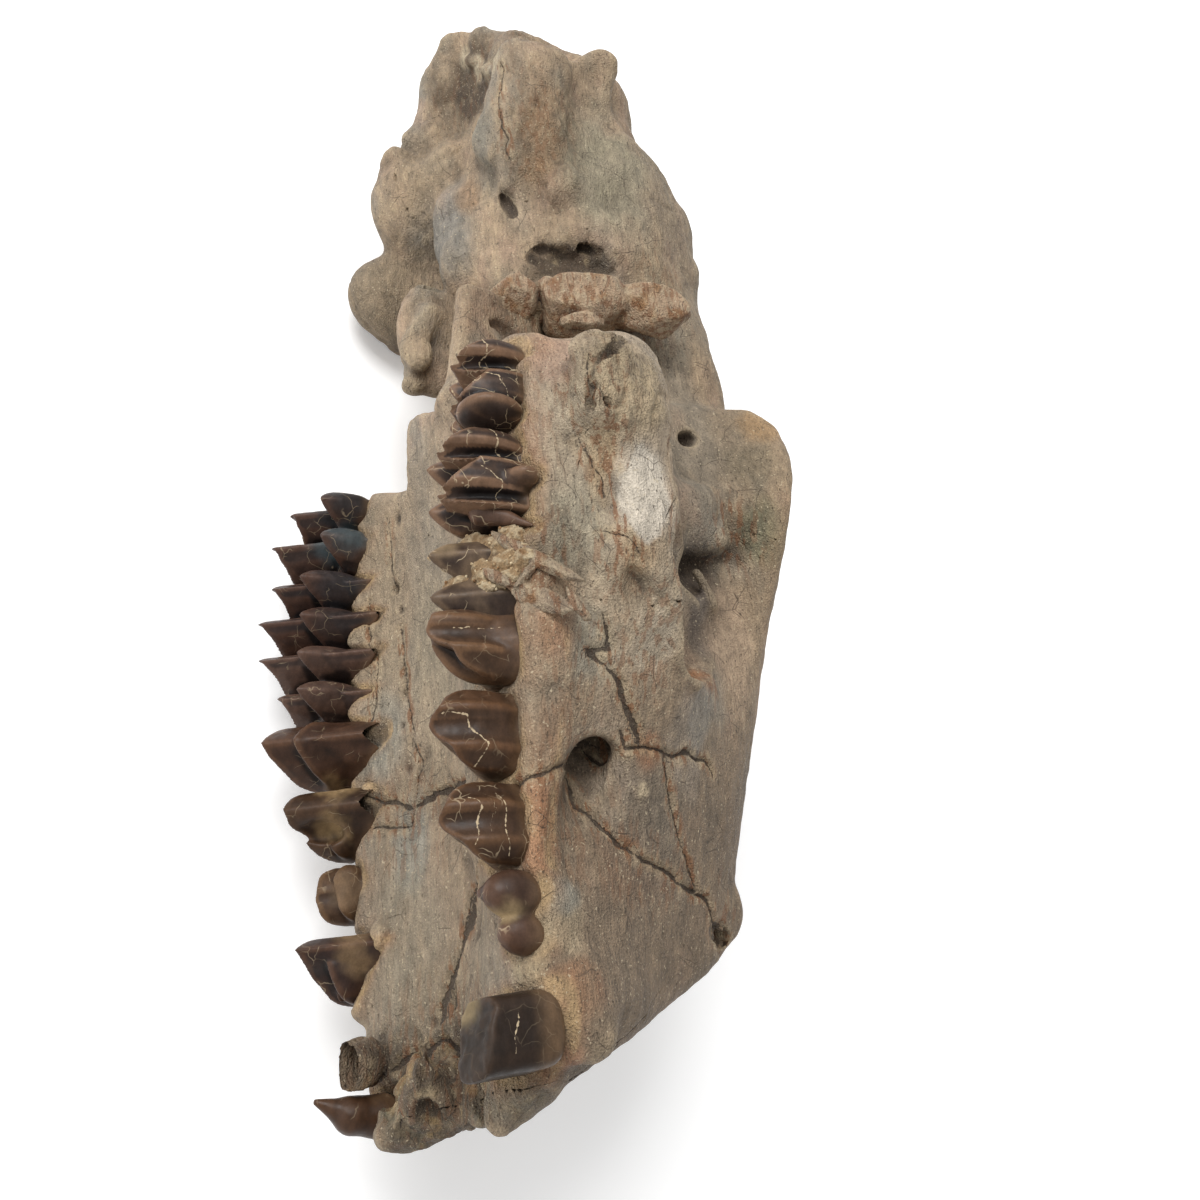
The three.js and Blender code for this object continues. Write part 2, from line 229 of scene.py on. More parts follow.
def profile(heights, halves, z):
    """The half width at height z, from half widths known at a few heights that vary with x."""
    n = len(heights)
    slopes = []
    for j in range(n):
        a, b = max(j - 1, 0), min(j + 1, n - 1)
        slopes.append((halves[b] - halves[a]) / (heights[b] - heights[a]))
    out = halves[0] + 0 * z
    for j in range(n - 1):
        h = heights[j + 1] - heights[j]
        t = np.clip((z - heights[j]) / h, 0, 1)
        c = 3 * t * t - 2 * t ** 3
        bend = t * (1 - t) * h * ((1 - t) * slopes[j] - t * slopes[j + 1])
        out = np.where(z > heights[j], halves[j] + c * (halves[j + 1] - halves[j]) + bend, out)
    return out


# ---- the face: half widths at five heights, from the rear of the palate to the snout
gum_half = along([
    (-8, 30), (10, 35), (22, 34.5), (37, 34), (51, 31.2), (62, 29), (75, 27.4), (87, 26.6),
    (98, 24.6), (107, 24.5), (113, 20.5), (118, 14), (121, 9)])
cheek_half = along([
    (-8, 33), (10, 38), (30, 39.5), (45, 37), (60, 32), (70, 28.5), (80, 25.5), (95, 23.5),
    (105, 23.5), (113, 16), (122, 8)])
ridge_half = along([
    (-8, 33), (10, 36), (30, 36), (48, 35.5), (60, 32), (68, 28), (80, 24.5), (95, 20.5),
    (105, 17.5), (113, 12)])
hollow_half = along([(-8, 24), (16, 27), (30, 25), (45, 26), (60, 25), (75, 22), (90, 19), (105, 16)])
eave_half = along([
    (-8, 31), (2, 35), (10, 37.5), (20, 37), (32, 32), (40, 28.2), (60, 23.4), (80, 19.4), (96, 17),
    (106, 13)])
eave_height = along([(-8, 60), (10, 58), (20, 56), (40, 54), (60, 50), (80, 45.5), (97, 41.5), (106, 38)])
roof_rise = along([(-8, 10), (20, 9), (60, 8), (97, 6)])
vault_height = along([(-8, 0.4), (8, 0.6), (22, 2.5), (40, 3.6), (70, 3.4), (100, 2.6), (116, 1.5)])
palate_end = along([
    (-40, 2), (-24, 0), (-16, 1), (-10, 2.5), (-4, -1.5), (2.2, -4.5), (4.2, 8), (7, 9), (18, 4), (40, 3)])


def face(x, y, z):
    """The muzzle and palate: side walls, roof, vaulted underside and the two cut ends."""
    eave, gum = eave_height(x), gum_half(x)
    heights = [0 * x, 15 + 0 * x, 26 + 0 * x, np.minimum(41, eave - 6), eave]
    halves = [gum, cheek_half(x), ridge_half(x), hollow_half(x), eave_half(x)]
    half = profile(heights, halves, z)
    side = (np.abs(y) - half) * 0.82
    roof = (z - eave - roof_rise(x) * (1 - (y / eave_half(x)) ** 2)) * 0.9
    vault = vault_height(x) * np.clip(1 - (y / (gum - 12)) ** 2, 0, 1)
    snout = (x + 0.53 * z - 118.8) * 0.87
    rear = soft_min(palate_end(y) - x, soft_max(34 - z, -5 - x, 6), 4)
    wall = soft_max(soft_max(side, roof, 5), (vault - z) * 0.8, 4)
    return soft_max(wall, soft_max(snout, rear, 3), 3)


# ---- the braincase and what stands on it
cranium = join(
    9,
    ball((-58, 1, 42.5), (45, 26.5, 25)),
    ball((-18, 0, 52), (34, 24, 17)),
    rod((-102, 0, 27), (-22, 0, 24), 9, 8),
    blade((-22, 0, 29), (4, 0, 30), (0, 0, 1), 9, 8))
crest_top = along([(-112, 60), (-99, 72), (-79, 78), (-56, 75), (-34, 70)])


def crest(x, y, z):
    """The thin crest along the top of the braincase."""
    flank = np.abs(y) - 1.7 - np.maximum(0, 74 - z) * 0.12
    ends = soft_max(x + 26, np.maximum(-106 - x, 50 - z), 2)
    return soft_max(soft_max(flank, z - crest_top(x), 2), ends, 2)


occiput = join(
    6,
    ball((-98, 0, 40), (11, 21, 18)),
    rod((-96, -11, 29), (-99, -12, 26), 7, 6.5),
    rod((-102, 8, 26), (-113, 4, 23), 7, 7),
    rod((-88, -22, 34), (-93, -24, 37), 5.5, 4),
    rod((-84, 24, 36), (-88, 22, 26), 7, 6),
    rod((-87, 19, 22), (-94, 15, 17), 7, 4.5),
    rod((-96, 12.5, 18), (-108, 8.5, 18), 5.5, 6.3),
    rod((-86, -19, 24), (-89, -18, 18), 6, 4))
glenoid = join(
    5,
    blade((-60, 22, 22), (-60, 32, 20), (1, 0, 0), 8, 5),
    ball((-57.5, 29, 14.2), (9.5, 8.3, 10.5)))
ear_bones = join(6, ball((-76, 18.3, 14.2), (13, 9.2, 10.0)), ball((-78, -14, 22), (15, 9, 8)))
wings = join(
    3,
    ball((-33.5, 12.2, 12.5), (14, 4.5, 7.5)),
    blade((2, -12, 8), (-24, -11.4, 12.5), (0, 0, 1), 6.5, 2),
    rod((-36, 11, 13), (-20, 12, 7.5), 2, 2.2))
cheek_root = join(
    4,
    rod((6, 36, 18), (18, 36, 14), 6, 9),
    rod((18, 36, 15), (46, 34, 17), 8, 6),
    ball((12, 39, 16), (8, 5, 8)),
    ball((18, 40, 11), (7, 4.5, 6)))

# ---- the hollows
orbit = both(join(6, ball((3, 47, 37.5), (23, 21, 17.5)), ball((-18, 44, 34), (22, 22, 26))))
tear_pit = both(ball((32, 35.5, 43), (9, 10, 8)))
nose = join(8, rod((122, 0, 26), (86, 0, 24), 12, 9), rod((112, 0, 34), (84, 0, 31), 9, 8))
throat = ball((-20, 0, 10), (24, 8, 10))
spine = ball((-112, -2, 30), (10, 7, 7))
nerve_hole = both(join(2, rod((86, 29.0, 7), (70, 23.5, 12.5), 4.2, 3.2), ball((80, 28.2, 11), (9, 2.3, 6))))

body = carve(
    4,
    join(6,
         carve(5, join(7, face, cranium), orbit, tear_pit),
         crest, occiput, glenoid, ear_bones, wings, right(cheek_root)),
    nose, throat, spine, nerve_hole)

# ---- local forms, each (adds or cuts, softness, shape, low corner, high corner)
FORMS = []


def uneven(shape, much):
    """The shape with its surface pushed about by about `much` mm at most."""
    def field(x, y, z):
        a = np.sin(0.41 * y + 0.23 * z + 0.4)
        b = np.sin(0.37 * x + 0.29 * z + 1.7)
        c = np.sin(0.39 * x - 0.33 * y + 2.9)
        return shape(x + much * a, y + much * b, z + much * c)
    return field


def form(adds, soft, shape, low, high):
    """Keeps a local form and the box in which it has any effect."""
    pad = soft + 2.5
    size = float(np.mean(np.subtract(high, low))) / 2
    low, high = np.array(low, float) - pad, np.array(high, float) + pad
    FORMS.append((adds, soft, uneven(shape, min(0.15 * size, 0.9)), low, high))


def lump(c, r, soft=1.5, adds=True):
    """Adds an ellipsoid of bone."""
    r = (r, r, r) if np.isscalar(r) else r
    form(adds, soft, ball(c, r), np.subtract(c, r), np.add(c, r))


def pit(c, r, soft=1.5):
    """Cuts an ellipsoid out of the bone."""
    lump(c, r, soft, False)


def strut(a, b, ra, rb, soft=1.5, adds=True):
    """Adds a ridge of bone from a to b."""
    big = max(ra, rb)
    form(adds, soft, rod(a, b, ra, rb), np.minimum(a, b) - big, np.maximum(a, b) + big)


def trough(a, b, ra, rb, soft=1.5):
    """Cuts a groove from a to b."""
    strut(a, b, ra, rb, soft, False)


# the bed on which rock is caught behind the right cheek, and the dark ragged space over it
strut((-27.5, -12, 17), (-26.5, -18.5, 28), 3.8, 4.0, 2)
strut((-26.5, -18.5, 28), (-23, -26, 38), 4.0, 3.6, 2)
trough((-39, -15, 22.5), (-37.5, -20.5, 31), 3.8, 3.0, 0.5)
trough((-37.5, -20.5, 31), (-34, -25, 39), 3.0, 1.4, 0.5)
trough((-43, -16.5, 28.5), (-38, -22, 33), 1.3, 1.7, 0.4)
trough((-42, -13.5, 23.5), (-40.5, -17.5, 27), 1.4, 1.0, 0.4)
pit((-34.5, -12.5, 20), (2.2, 3, 2.5), 0.8)
pit((-35.5, -22, 33), (3, 2.4, 2.6), 0.6)
trough((-17, -11, 10), (-14, -21, 22), 2.2, 1.8, 0.8)
trough((-18, -12.0, 11.4), (-15.5, -19, 19.5), 2.2, 2.0, 1.4)
# the skull base: a slot, a low oval boss with a dark hollow behind it, and two low ridges that meet in a V
trough((-61.5, -9.6, 18.2), (-52, -10.2, 18.8), 1.2, 1.0, 0.5)
lump((-71, -10.6, 15.2), (6, 3.6, 2.4), 3)
strut((-113, 2, 16), (-107.6, -7, 19.3), 2.8, 2.4, 3)
strut((-107.6, -7, 19.3), (-100.4, -12.4, 22), 2.4, 2.0, 3)
lump((-98.5, -9, 20.8), (9, 7, 4.4), 3)
strut((-107.5, -1, 17.0), (-95, -8.4, 17.2), 1.1, 1.1, 1.5)
strut((-95, -8.4, 17.2), (-86, -18.5, 15.2), 1.1, 1.1, 1.5)
pit((-88, -5, 13.8), (5, 4.5, 2.6), 3)
lump((-79, 11, 16), (13, 8, 4.6), 4)
lump((-57, 5, 16), (14, 5.5, 4.2), 4)
# rough block beside the ear and the smooth hollow outside it
strut((-88, -19, 20.5), (-56, -18.5, 26.5), 3.2, 3.4, 3.5)
strut((-82, -12.5, 18.5), (-60, -12.5, 19.5), 2.4, 2.2, 4)
trough((-90, -28, 32), (-48, -29, 37), 5.0, 6.0, 4)
strut((-95, -17, 22), (-86, -21, 26), 3.2, 2.6, 2.5)
# the left flange and the plates beside the throat
pit((-45.7, 10.6, 12.1), (1.5, 1.5, 3), 0.6)
pit((-44, 18, 8), (4, 2.2, 2.6), 2)
trough((-60, 14, 8.5), (-52, 16, 8), 1.8, 1.8, 3)
strut((-36, 8.5, 9.5), (-24, 9, 6.5), 2.8, 2.4, 1.5)
# left half of the front of the palate, the cheek tooth sockets' edges and the snout's end
strut((113, -13, 5), (118.6, -11.6, 1.2), 4.5, 1.2, 2)
trough((124, -4.5, -1), (116.2, -4, 3), 3.6, 1.4, 1.2)
lump((112.2, 6, 0.3), (5, 8, 4.0), 1.2)
lump((109.5, 1.5, -1.2), (3.6, 3.2, 2.6), 0.6)
lump((114, 9.5, -2.6), (3.4, 2.6, 2.2), 0.5)
lump((113.2, 4.2, -2.4), (2.6, 2.2, 1.8), 0.5)
trough((106, 8.5, -3.6), (116, 6.6, -4.6), 0.7, 0.9, 0.4)
trough((108, -1.5, -3.2), (116, 0.5, -2.2), 0.9, 0.7, 0.4)
lump((110.6, -11.5, 1.4), (3.2, 3.4, 2.4), 0.6)
trough((108.5, -8.8, 0.0), (116, -9.2, 0.2), 0.7, 0.7, 0.4)
lump((88, -14.5, 44.6), (3.5, 2.2, 2.4), 3)
lump((115.7, 9, -1.5), (2.4, 4, 3), 1.5)
lump((105.5, 16.6, -4.0), (3.8, 3.2, 4.6), 1.2)
pit((110.2, 13.5, -1), (1.4, 5, 3), 1)
pit((106, -1, 0.4), (3.2, 4.2, 2.6), 0.8)
pit((101.5, 5.2, 1.2), (1.4, 1.2, 1.6), 0.5)
pit((112.5, -8, 0.6), (2.6, 2.0, 2.0), 0.8)
pit((114.5, 1, -1.6), (2.0, 1.6, 2.0), 0.6)
pit((111, 9, -3.2), (1.8, 1.5, 2.0), 0.6)
lump((104.5, -21.5, 8.5), (7, 4.4, 5), 3)
lump((54, -28.6, 3.2), (6, 2.0, 2.4), 5)
# along the middle of the palate: a low seam with open pits
trough((14, 9.5, 0.6), (60, 10, 1.2), 0.7, 0.8, 1.5)
for at, r in ((27, 0.9), (31.5, 0.7), (35, 1.2), (39.5, 0.9), (43, 1.1), (47, 0.8), (53, 0.6)):
    pit((at, 11.0 + 0.8 * math.sin(at), 1.6), (r * 1.5, r, 1.4), 0.4)
trough((60, 6, 1.5), (90, -8, 1.2), 1.2, 1.0, 3)
strut((8, 19.8, 2.5), (34, 21.7, 1.7), 2.1, 2.3, 2)
strut((34, 21.7, 1.7), (62, 22.6, 1.5), 2.3, 2.3, 2)
strut((62, 22.8, 1.5), (96, 21.8, 1.5), 2.3, 2.3, 2)
for at in ((52.0, 19.6, 0.3), (63.4, 19.6, 0.2), (87, 16.8, 0.2), (36.4, 19.4, 0.9)):
    lump(at, (2.4, 2.4, 1.7), 0.6)
# the wide hollow before the eye: deepest at its rear, under a rough lip, with a sharp lower rim
pit((15, -42.5, 33.5), (17, 12, 13), 0.6)
strut((30, -40.4, 18.6), (46, -38.6, 18.6), 1.5, 1.7, 3)
strut((46, -38.6, 18.6), (54, -34.8, 22.6), 1.7, 1.6, 3)
strut((54, -34.8, 22.6), (58.5, -31, 28.5), 1.6, 1.2, 2)
pit((44.5, -37, 33.5), (16.5, 13.0, 14.2), 0.4)
pit((45, -32.5, 43), (13, 8, 7.5), 4)
pit((33, -28.5, 40.0), (5.8, 7.0, 6.0), 0.8)
lump((22, -25.6, 40.5), (6.5, 4.2, 6.5), 3.5)
strut((24.6, -26.6, 39), (26.2, -27.2, 43.5), 0.9, 0.9, 3.5)
strut((33, -25.2, 39), (38.5, -24.6, 43), 0.7, 0.8, 2)
# mouth of the canal under the eye, and the flat it opens on
pit((73.5, -27, 12.5), (6.0, 3.4, 4.8), 0.8)
pit((68.5, -23.5, 13.2), (3.4, 3.2, 3.4), 0.8)
# holes and dents of the orbit
pit((4, -26.5, 43), (2.1, 5, 2.1), 0.4)
pit((10, -25, 52), (5, 2.5, 3), 2)
lump((-84, 16.5, 9.5), (4.5, 4, 4), 2)
lump((-92, 15.5, 13), (4, 3, 4), 2)
pit((-21, -21.5, 63.5), (13, 5.5, 5), 3)
pit((-6, -31.5, 60), (5, 4, 3.5), 3)
lump((-54, -14, 54), (17, 8, 8.5), 4)
pit((-82, -23.5, 53), (8, 6.5, 9), 5)
# dents of the cheek and the broken corner of the nose
pit((36, -41, 8), (9, 2.2, 3), 2.5)
pit((52, -38.5, 13.5), (6, 2, 3.5), 2.5)
pit((30, -38.0, 3.5), (6, 2, 2.5), 2)
lump((16, -42, 9.6), (9, 4.2, 6.8), 1.2)
lump((13, -43.2, 11.4), (5.6, 3.0, 4.0), 0.8)
lump((20, -43.0, 7.4), (5, 2.6, 3.6), 0.8)
trough((23, -43.4, 5.0), (16, -45.2, 4.2), 0.7, 1.1, 0.4)
trough((16, -45.2, 4.2), (8.5, -45.8, 12.2), 1.1, 0.6, 0.4)
pit((21.9, -45.6, 7.2), (0.7, 1.2, 0.6), 0.3)
pit((25.2, -43.2, 6.0), (0.8, 1.2, 0.6), 0.3)
pit((15, -47.2, 14.4), (2.2, 1.2, 1.2), 0.6)
trough((95, -18, 41), (92.5, -15.5, 42), 1.6, 1.4, 0.6)
trough((93, -18.5, 38), (95, -15, 43.5), 1.0, 1.2, 0.6)


def skull(x, y, z):
    """The whole skull without its teeth; forms are tried only in the blocks that they reach."""
    out = np.array(np.broadcast_to(body(x, y, z), np.broadcast(x, y, z).shape), float)
    n = len(out)
    spans = [(v.reshape(n, -1).min(1), v.reshape(n, -1).max(1)) for v in (x, y, z)]
    for adds, soft, shape, low, high in FORMS:
        hit = np.ones(n, bool)
        for k in range(3):
            hit &= (spans[k][1] > low[k]) & (spans[k][0] < high[k])
        if hit.any():
            d = shape(x[hit], y[hit], z[hit])
            out[hit] = soft_min(out[hit], d, soft) if adds else soft_max(out[hit], -d, soft)
    return out


# ---- from distances to a closed mesh
BLOCK = 5  # samples along each side of a block
BATCH = 4000  # blocks worked out at a time


def sampled(field, low, high, step, reach):
    """The field on a grid, found finely only in the blocks that lie near its surface."""
    counts = np.ceil((high - low) / (step * BLOCK)).astype(int)
    middle = [low[k] + (np.arange(counts[k]) + 0.5) * step * BLOCK for k in range(3)]
    spots = [m.ravel() for m in np.meshgrid(*middle, indexing="ij")]
    rough = field(*spots).reshape(counts).astype(np.float32)
    i, j, k = np.nonzero(np.abs(rough) < reach)
    inner = np.arange(BLOCK)
    x = (low[0] + (i[:, None] * BLOCK + inner) * step)[:, :, None, None]
    y = (low[1] + (j[:, None] * BLOCK + inner) * step)[:, None, :, None]
    z = (low[2] + (k[:, None] * BLOCK + inner) * step)[:, None, None, :]
    full = np.empty(tuple(counts) + (BLOCK,) * 3, np.float32)
    full[...] = rough[:, :, :, None, None, None]
    for at in range(0, len(i), BATCH):
        part = slice(at, at + BATCH)
        full[i[part], j[part], k[part]] = field(x[part], y[part], z[part])
    return full.transpose(0, 3, 1, 4, 2, 5).reshape([n * BLOCK for n in counts])


CORNERS = [((c >> 2) & 1, (c >> 1) & 1, c & 1) for c in range(8)]
EDGES = [(a, b) for a in range(8) for b in range(a + 1, 8)
         if sum(abs(CORNERS[a][k] - CORNERS[b][k]) for k in range(3)) == 1]


def meshed(value, low, step):
    """Points and quads of the zero surface of a sampled field, facing outwards."""
    inside = value < 0
    n = np.array(value.shape) - 1
    view = [inside[c[0]:c[0] + n[0], c[1]:c[1] + n[1], c[2]:c[2] + n[2]] for c in CORNERS]
    some, every = view[0].copy(), view[0].copy()
    for v in view[1:]:
        some |= v
        every &= v
    i, j, k = np.nonzero(some & ~every)
    at = np.full(n, -1, np.int32)
    at[i, j, k] = np.arange(len(i))
    corner = [value[i + c[0], j + c[1], k + c[2]].astype(np.float64) for c in CORNERS]
    total, count = np.zeros((len(i), 3)), np.zeros(len(i))
    for a, b in EDGES:
        cut = (corner[a] < 0) != (corner[b] < 0)
        t = np.where(cut, corner[a] / np.where(cut, corner[a] - corner[b], 1), 0)
        for axis in range(3):
            total[:, axis] += np.where(cut, CORNERS[a][axis] + t * (CORNERS[b][axis] - CORNERS[a][axis]), 0)
        count += cut
    points = low + (np.stack([i, j, k], 1) + total / count[:, None]) * step
    quads = []
    for axis in range(3):
        u, v = (axis + 1) % 3, (axis + 2) % 3
        first, second = [slice(1, -1)] * 3, [slice(1, -1)] * 3
        first[axis], second[axis] = slice(0, -1), slice(1, None)
        a, b = inside[tuple(first)], inside[tuple(second)]
        for mask, flip in ((a & ~b, False), (b & ~a, True)):
            cell = np.stack(np.nonzero(mask), 1)
            cell[:, u] += 1
            cell[:, v] += 1
            corners = []
            for du, dv in ((0, 0), (1, 0), (1, 1), (0, 1)):
                c = cell.copy()
                c[:, u] -= 1 - du
                c[:, v] -= 1 - dv
                corners.append(at[c[:, 0], c[:, 1], c[:, 2]])
            quads.append(np.stack(corners[::-1] if flip else corners, 1))
    return points, np.concatenate(quads)


def large_parts(points, quads, share=1.0):
    """Only the connected parts of a mesh with at least this share of the largest part's points."""
    label = np.arange(len(points))
    while True:
        low = label[quads].min(1)
        new = label.copy()
        for k in range(4):
            np.minimum.at(new, quads[:, k], low)
        new = new[new]
        if (new == label).all():
            break
        label = new
    names, sizes = np.unique(label, return_counts=True)
    kept = np.isin(label, names[sizes >= share * sizes.max()])
    order = np.cumsum(kept) - 1
    return points[kept], order[quads[kept[quads[:, 0]]]]


def slope_of(field, p, h=0.25):
    """The direction in which the distance grows fastest, of length about 1."""
    out = np.empty_like(p)
    for k in range(3):
        d = np.zeros(3)
        d[k] = h
        a, b = p + d, p - d
        out[:, k] = (field(*a.T) - field(*b.T)) / (2 * h)
    return out


def normals(field, p, h):
    """The outward direction at each point, of length 1."""
    n = slope_of(field, p, h)
    return n / np.maximum(np.linalg.norm(n, axis=1), 1e-6)[:, None]


def settle(field, p, times=2, most=0.4):
    """Moves points onto the zero surface of the field."""
    p = p.copy()
    for _ in range(times):
        g = slope_of(field, p)
        f = field(*p.T)
        move = f / np.maximum((g * g).sum(1), 0.05)
        p -= np.clip(move, -most, most)[:, None] * g
    return p


# ---- parting the skull into bones, by [x, z] outlines seen from the side
def outline(points, x, z):
    """Distance to a closed outline, negative inside."""
    best, sign = np.full(np.broadcast(x, z).shape, 1e9), np.ones(np.broadcast(x, z).shape)
    for k, b in enumerate(points):
        a = points[k - 1]
        ex, ez, wx, wz = b[0] - a[0], b[1] - a[1], x - a[0], z - a[1]
        t = np.clip((wx * ex + wz * ez) / (ex * ex + ez * ez), 0, 1)
        best = np.minimum(best, (wx - t * ex) ** 2 + (wz - t * ez) ** 2)
        over = (a[1] <= z) != (b[1] <= z)
        if ez:
            hit = a[0] + (z - a[1]) * ex / ez
            sign = np.where(over & (x < hit), -sign, sign)
    return np.sqrt(best) * sign


def prism(points, y0, y1):
    """A wavy-edged block over an outline, like the seam between two bones."""
    def field(x, y, z):
        wave = 0.45 * np.sin(x * 0.5 + 1.1 * np.sin(z * 0.3)) + 0.2 * np.sin(z * 0.9 + x * 0.3)
        block = outline(points, x + wave, z + 0.5 * np.sin(x * 0.6 + z * 0.2))
        drift = 0.25 * np.sin(x * 0.5) + 0.12 * np.sin(x * 1.3 + z * 0.5)
        return np.maximum(block, np.maximum(y0 - y - drift, y + drift - y1))
    return field


def parted():
    """Each bone's region: a field that is negative where the bone is."""
    regions = {}

    def overlap(a, b):
        return lambda x, y, z: np.maximum(a(x, y, z), b(x, y, z))

    def part_off(source, name, points, y0, y1):
        """Takes the part of a region inside an outline and between two sides for a bone of its own."""
        block, whole = prism(points, y0, y1), regions[source]
        regions[name] = overlap(whole, block)
        regions[source] = lambda x, y, z: np.maximum(whole(x, y, z), -block(x, y, z))

    regions["sphenoid"] = lambda x, y, z: -99 + 0 * (x + y + z)
    part_off("sphenoid", "face", [(-20, 36), (-5, 30), (-5, -20), (130, -20), (130, 90), (-20, 90)], -60, 60)
    whole = regions["face"]
    for side, near, far in (("right", -60, 0), ("left", 0, 60)):
        maxilla = "maxilla_" + side
        half = prism([(-40, -40), (150, -40), (150, 110), (-40, 110)], near, far)
        regions[maxilla] = overlap(whole, half)
        part_off(maxilla, "frontal_" + side, [(-30, 37), (22, 39), (40, 95), (-30, 95)], -99, 99)
        part_off(maxilla, "nasal_" + side,
                 [(20, 57), (60, 52), (80, 47), (112, 36), (130, 36), (130, 95), (20, 95)], -11, 11)
        part_off(maxilla, "premaxilla_" + side,
                 [(114.6, -15), (130, -15), (130, 60), (76, 60), (80, 44), (96, 34), (113.6, 8)], -99, 99)
        part_off(maxilla, "palatine_" + side, [(-30, -20), (22, -20), (22, 9), (-30, 9)], -15, 15)
    del regions["face"]
    part_off("maxilla_right", "jugal_right", [(-30, 6), (50, 6), (50, 32), (-30, 32)], -60, -33.3)
    part_off("sphenoid", "occipital", [(-84, -20), (-92, 30), (-92, 95), (-140, 95), (-140, -20)], -60, 60)
    part_off("sphenoid", "parietal", [(-140, 42), (10, 42), (10, 95), (-140, 95)], -60, 60)
    for side, near, far in (("left", 13, 60), ("right", -60, -13)):
        part_off("sphenoid", "squamosal_" + side, [(-140, -20), (-45, -20), (-45, 60), (-140, 60)], near, far)
    return regions


def to_ground(p):
    """From the skull's own frame in mm to the ground's frame in metres."""
    return (p @ TURN.T + SHIFT) * MM


# ---- teeth
def crown(side, rear, front, gum, inner, rise, tall, tip=0.1, drop=(0.38, 0.42), lean=4.2, shelf=0.88,
          outer=True, ribs=((0.1, 0.5),), hollow=(0.7, 2.0), style=(0.8, 0.8, 0.8), ends=(1.2, 1.2),
          fold=4.0, power=1.3, inset=0.0, skew=0.0, slant=0.0, cap=3.5, extra=(), bites=()):
    """One tooth: an outer wall of ribbed crescents, an inner row of crescents and a valley between.

    side is 1 on the left and -1 on the right. gum is the half width at the rear and the front,
    inner the inner half width, rise the gum's height and tall the height of each outer cusp.
    drop is how far the edge falls to the rear and front of each tip, hollow how deep the wall dips
    behind and before it, fold how sharply the inner crescents bend and skew how far they stand
    ahead; cap is how far it runs on above the gum. extra and bites are lumps added and hollows
    cut, as (middle, radii) with y a half width.
    """
    lobes = len(tall)
    long = (front - rear) / lobes
    high = shelf * sum(tall) / lobes

    def dip(c, t, k):
        """How far in the outer wall of crescent k lies at c, t of the way from the gum to the tip."""
        back = np.sin(np.pi * np.clip((tip - c) / (1 + tip), 0, 1)) * hollow[0]
        f = np.clip((c - tip) / (1 - tip), 0, 1)
        ahead = 2.45 * f ** 0.45 * (1 - f) * hollow[1]
        out = np.where(c < tip, back, ahead) * np.sqrt(t)
        pillar = style[k] * np.exp(-((1 + c) / 0.2) ** 2) + style[k + 1] * np.exp(-((1 - c) / 0.2) ** 2)
        out = out - pillar * (0.5 + 0.5 * t)
        for at, size in ribs:
            out = out - size * np.exp(-((c - at) / 0.2) ** 2) * (0.45 + 0.55 * t)
        return out

    def field(x, y, z):
        w = side * y
        wide = gum[0] + (gum[1] - gum[0]) * np.clip((x - rear) / (front - rear), 0, 1)
        slab = (inner + 5.5, wide - 1.8) if outer else (inner + 1.8, inner + 0.44 * (wide - inner) - 1.8)
        best = np.maximum(np.maximum(slab[0] - w, w - slab[1]), rise - 0.3 * tall[0] - z)
        for k in range(lobes):
            size = tall[k]
            up = np.clip((rise - z) / size, 0, 1.1)
            s = (x - rear - (k + 0.5) * long) / (long / 2)
            c = np.clip(s, -1.0, 1.0)
            away = c - tip
            fall = np.where(away < 0, drop[0] * np.abs(away / (1 + tip)) ** power,
                            drop[1] * np.abs(away / (1 - tip)) ** power)
            walls = np.abs(s) * long / 2 - long / 2 - 0.4
            if outer:
                def wall_at(t):
                    return wide + 0.7 * np.sin(3.1 * t) - lean * t ** 1.4 - dip(c, t, k) - inset * c * c
                within = (rise - size * (1 - fall) + 1.25 * (wall_at(1 - fall) - w) - z) / 1.6
                shape = soft_max(soft_max((w - wall_at(up)) * 0.9, within, 0.5), walls, 0.6)
                best = soft_min(best, shape, 0.7)
            s = s - 2 * skew / long
            c = np.clip(s + 0.12, -1.0, 1.0)
            v = np.clip((rise - z) / high, 0, 1.1)
            keel = 1 - (0.45 + 0.02 * (fold - 4)) * np.abs(c) ** 1.4

            def face_at(v):
                bend = fold * ((0.25 + 0.75 * v) * np.abs(c) ** 1.6 * v + (1 - v) * 0.6 * np.abs(c) ** 3)
                return inner + 2.4 * np.maximum(1 - v, 0) ** 2.2 + 3.4 * v ** 1.25 + bend
            within = (rise - high * keel + 1.35 * (w - face_at(keel)) - z) / 1.68
            walls = np.abs(s) * long / 2 - long / 2 - 0.2
            shape = soft_max(soft_max((face_at(v) - w) * 0.8, within, 0.6), walls, 0.8)
            best = soft_min(best, shape, 0.5)
        best = soft_max(best, rear + 0.1 - x + slant * smooth(gum[0] - 1, inner + 3, w), ends[0])
        ahead = max(skew, 0) * smooth(0.6 * (gum[0] - inner), 0, w - inner)
        best = soft_max(best, x - front - 0.1 - ahead, ends[1])
        for c, r in extra:
            best = soft_min(best, ball(c, r)(x, w, z), 1.0)
        for c, r in bites:
            best = soft_max(best, -ball(c, r)(x, w, z), 0.8)
        return soft_max(best, z - rise - cap, 0.5)
    reach = max([max(gum) + 3] + [c[1] + r[1] + 1 for c, r in extra])
    low = np.array([rear - 2, side * (inner - 3 if side > 0 else reach), rise - max(tall) - 2])
    high_corner = np.array([front + 4, side * (reach if side > 0 else inner - 3), rise + 4.5])
    return field, low, high_corner


def stump(side, shape, low, high):
    """A tooth given outright as a shape, in half widths."""
    ends = sorted([side * low[1], side * high[1]])
    return ((lambda x, y, z: shape(x, side * y, z)),
            np.array([low[0], ends[0], low[2]]), np.array([high[0], ends[1], high[2]]))


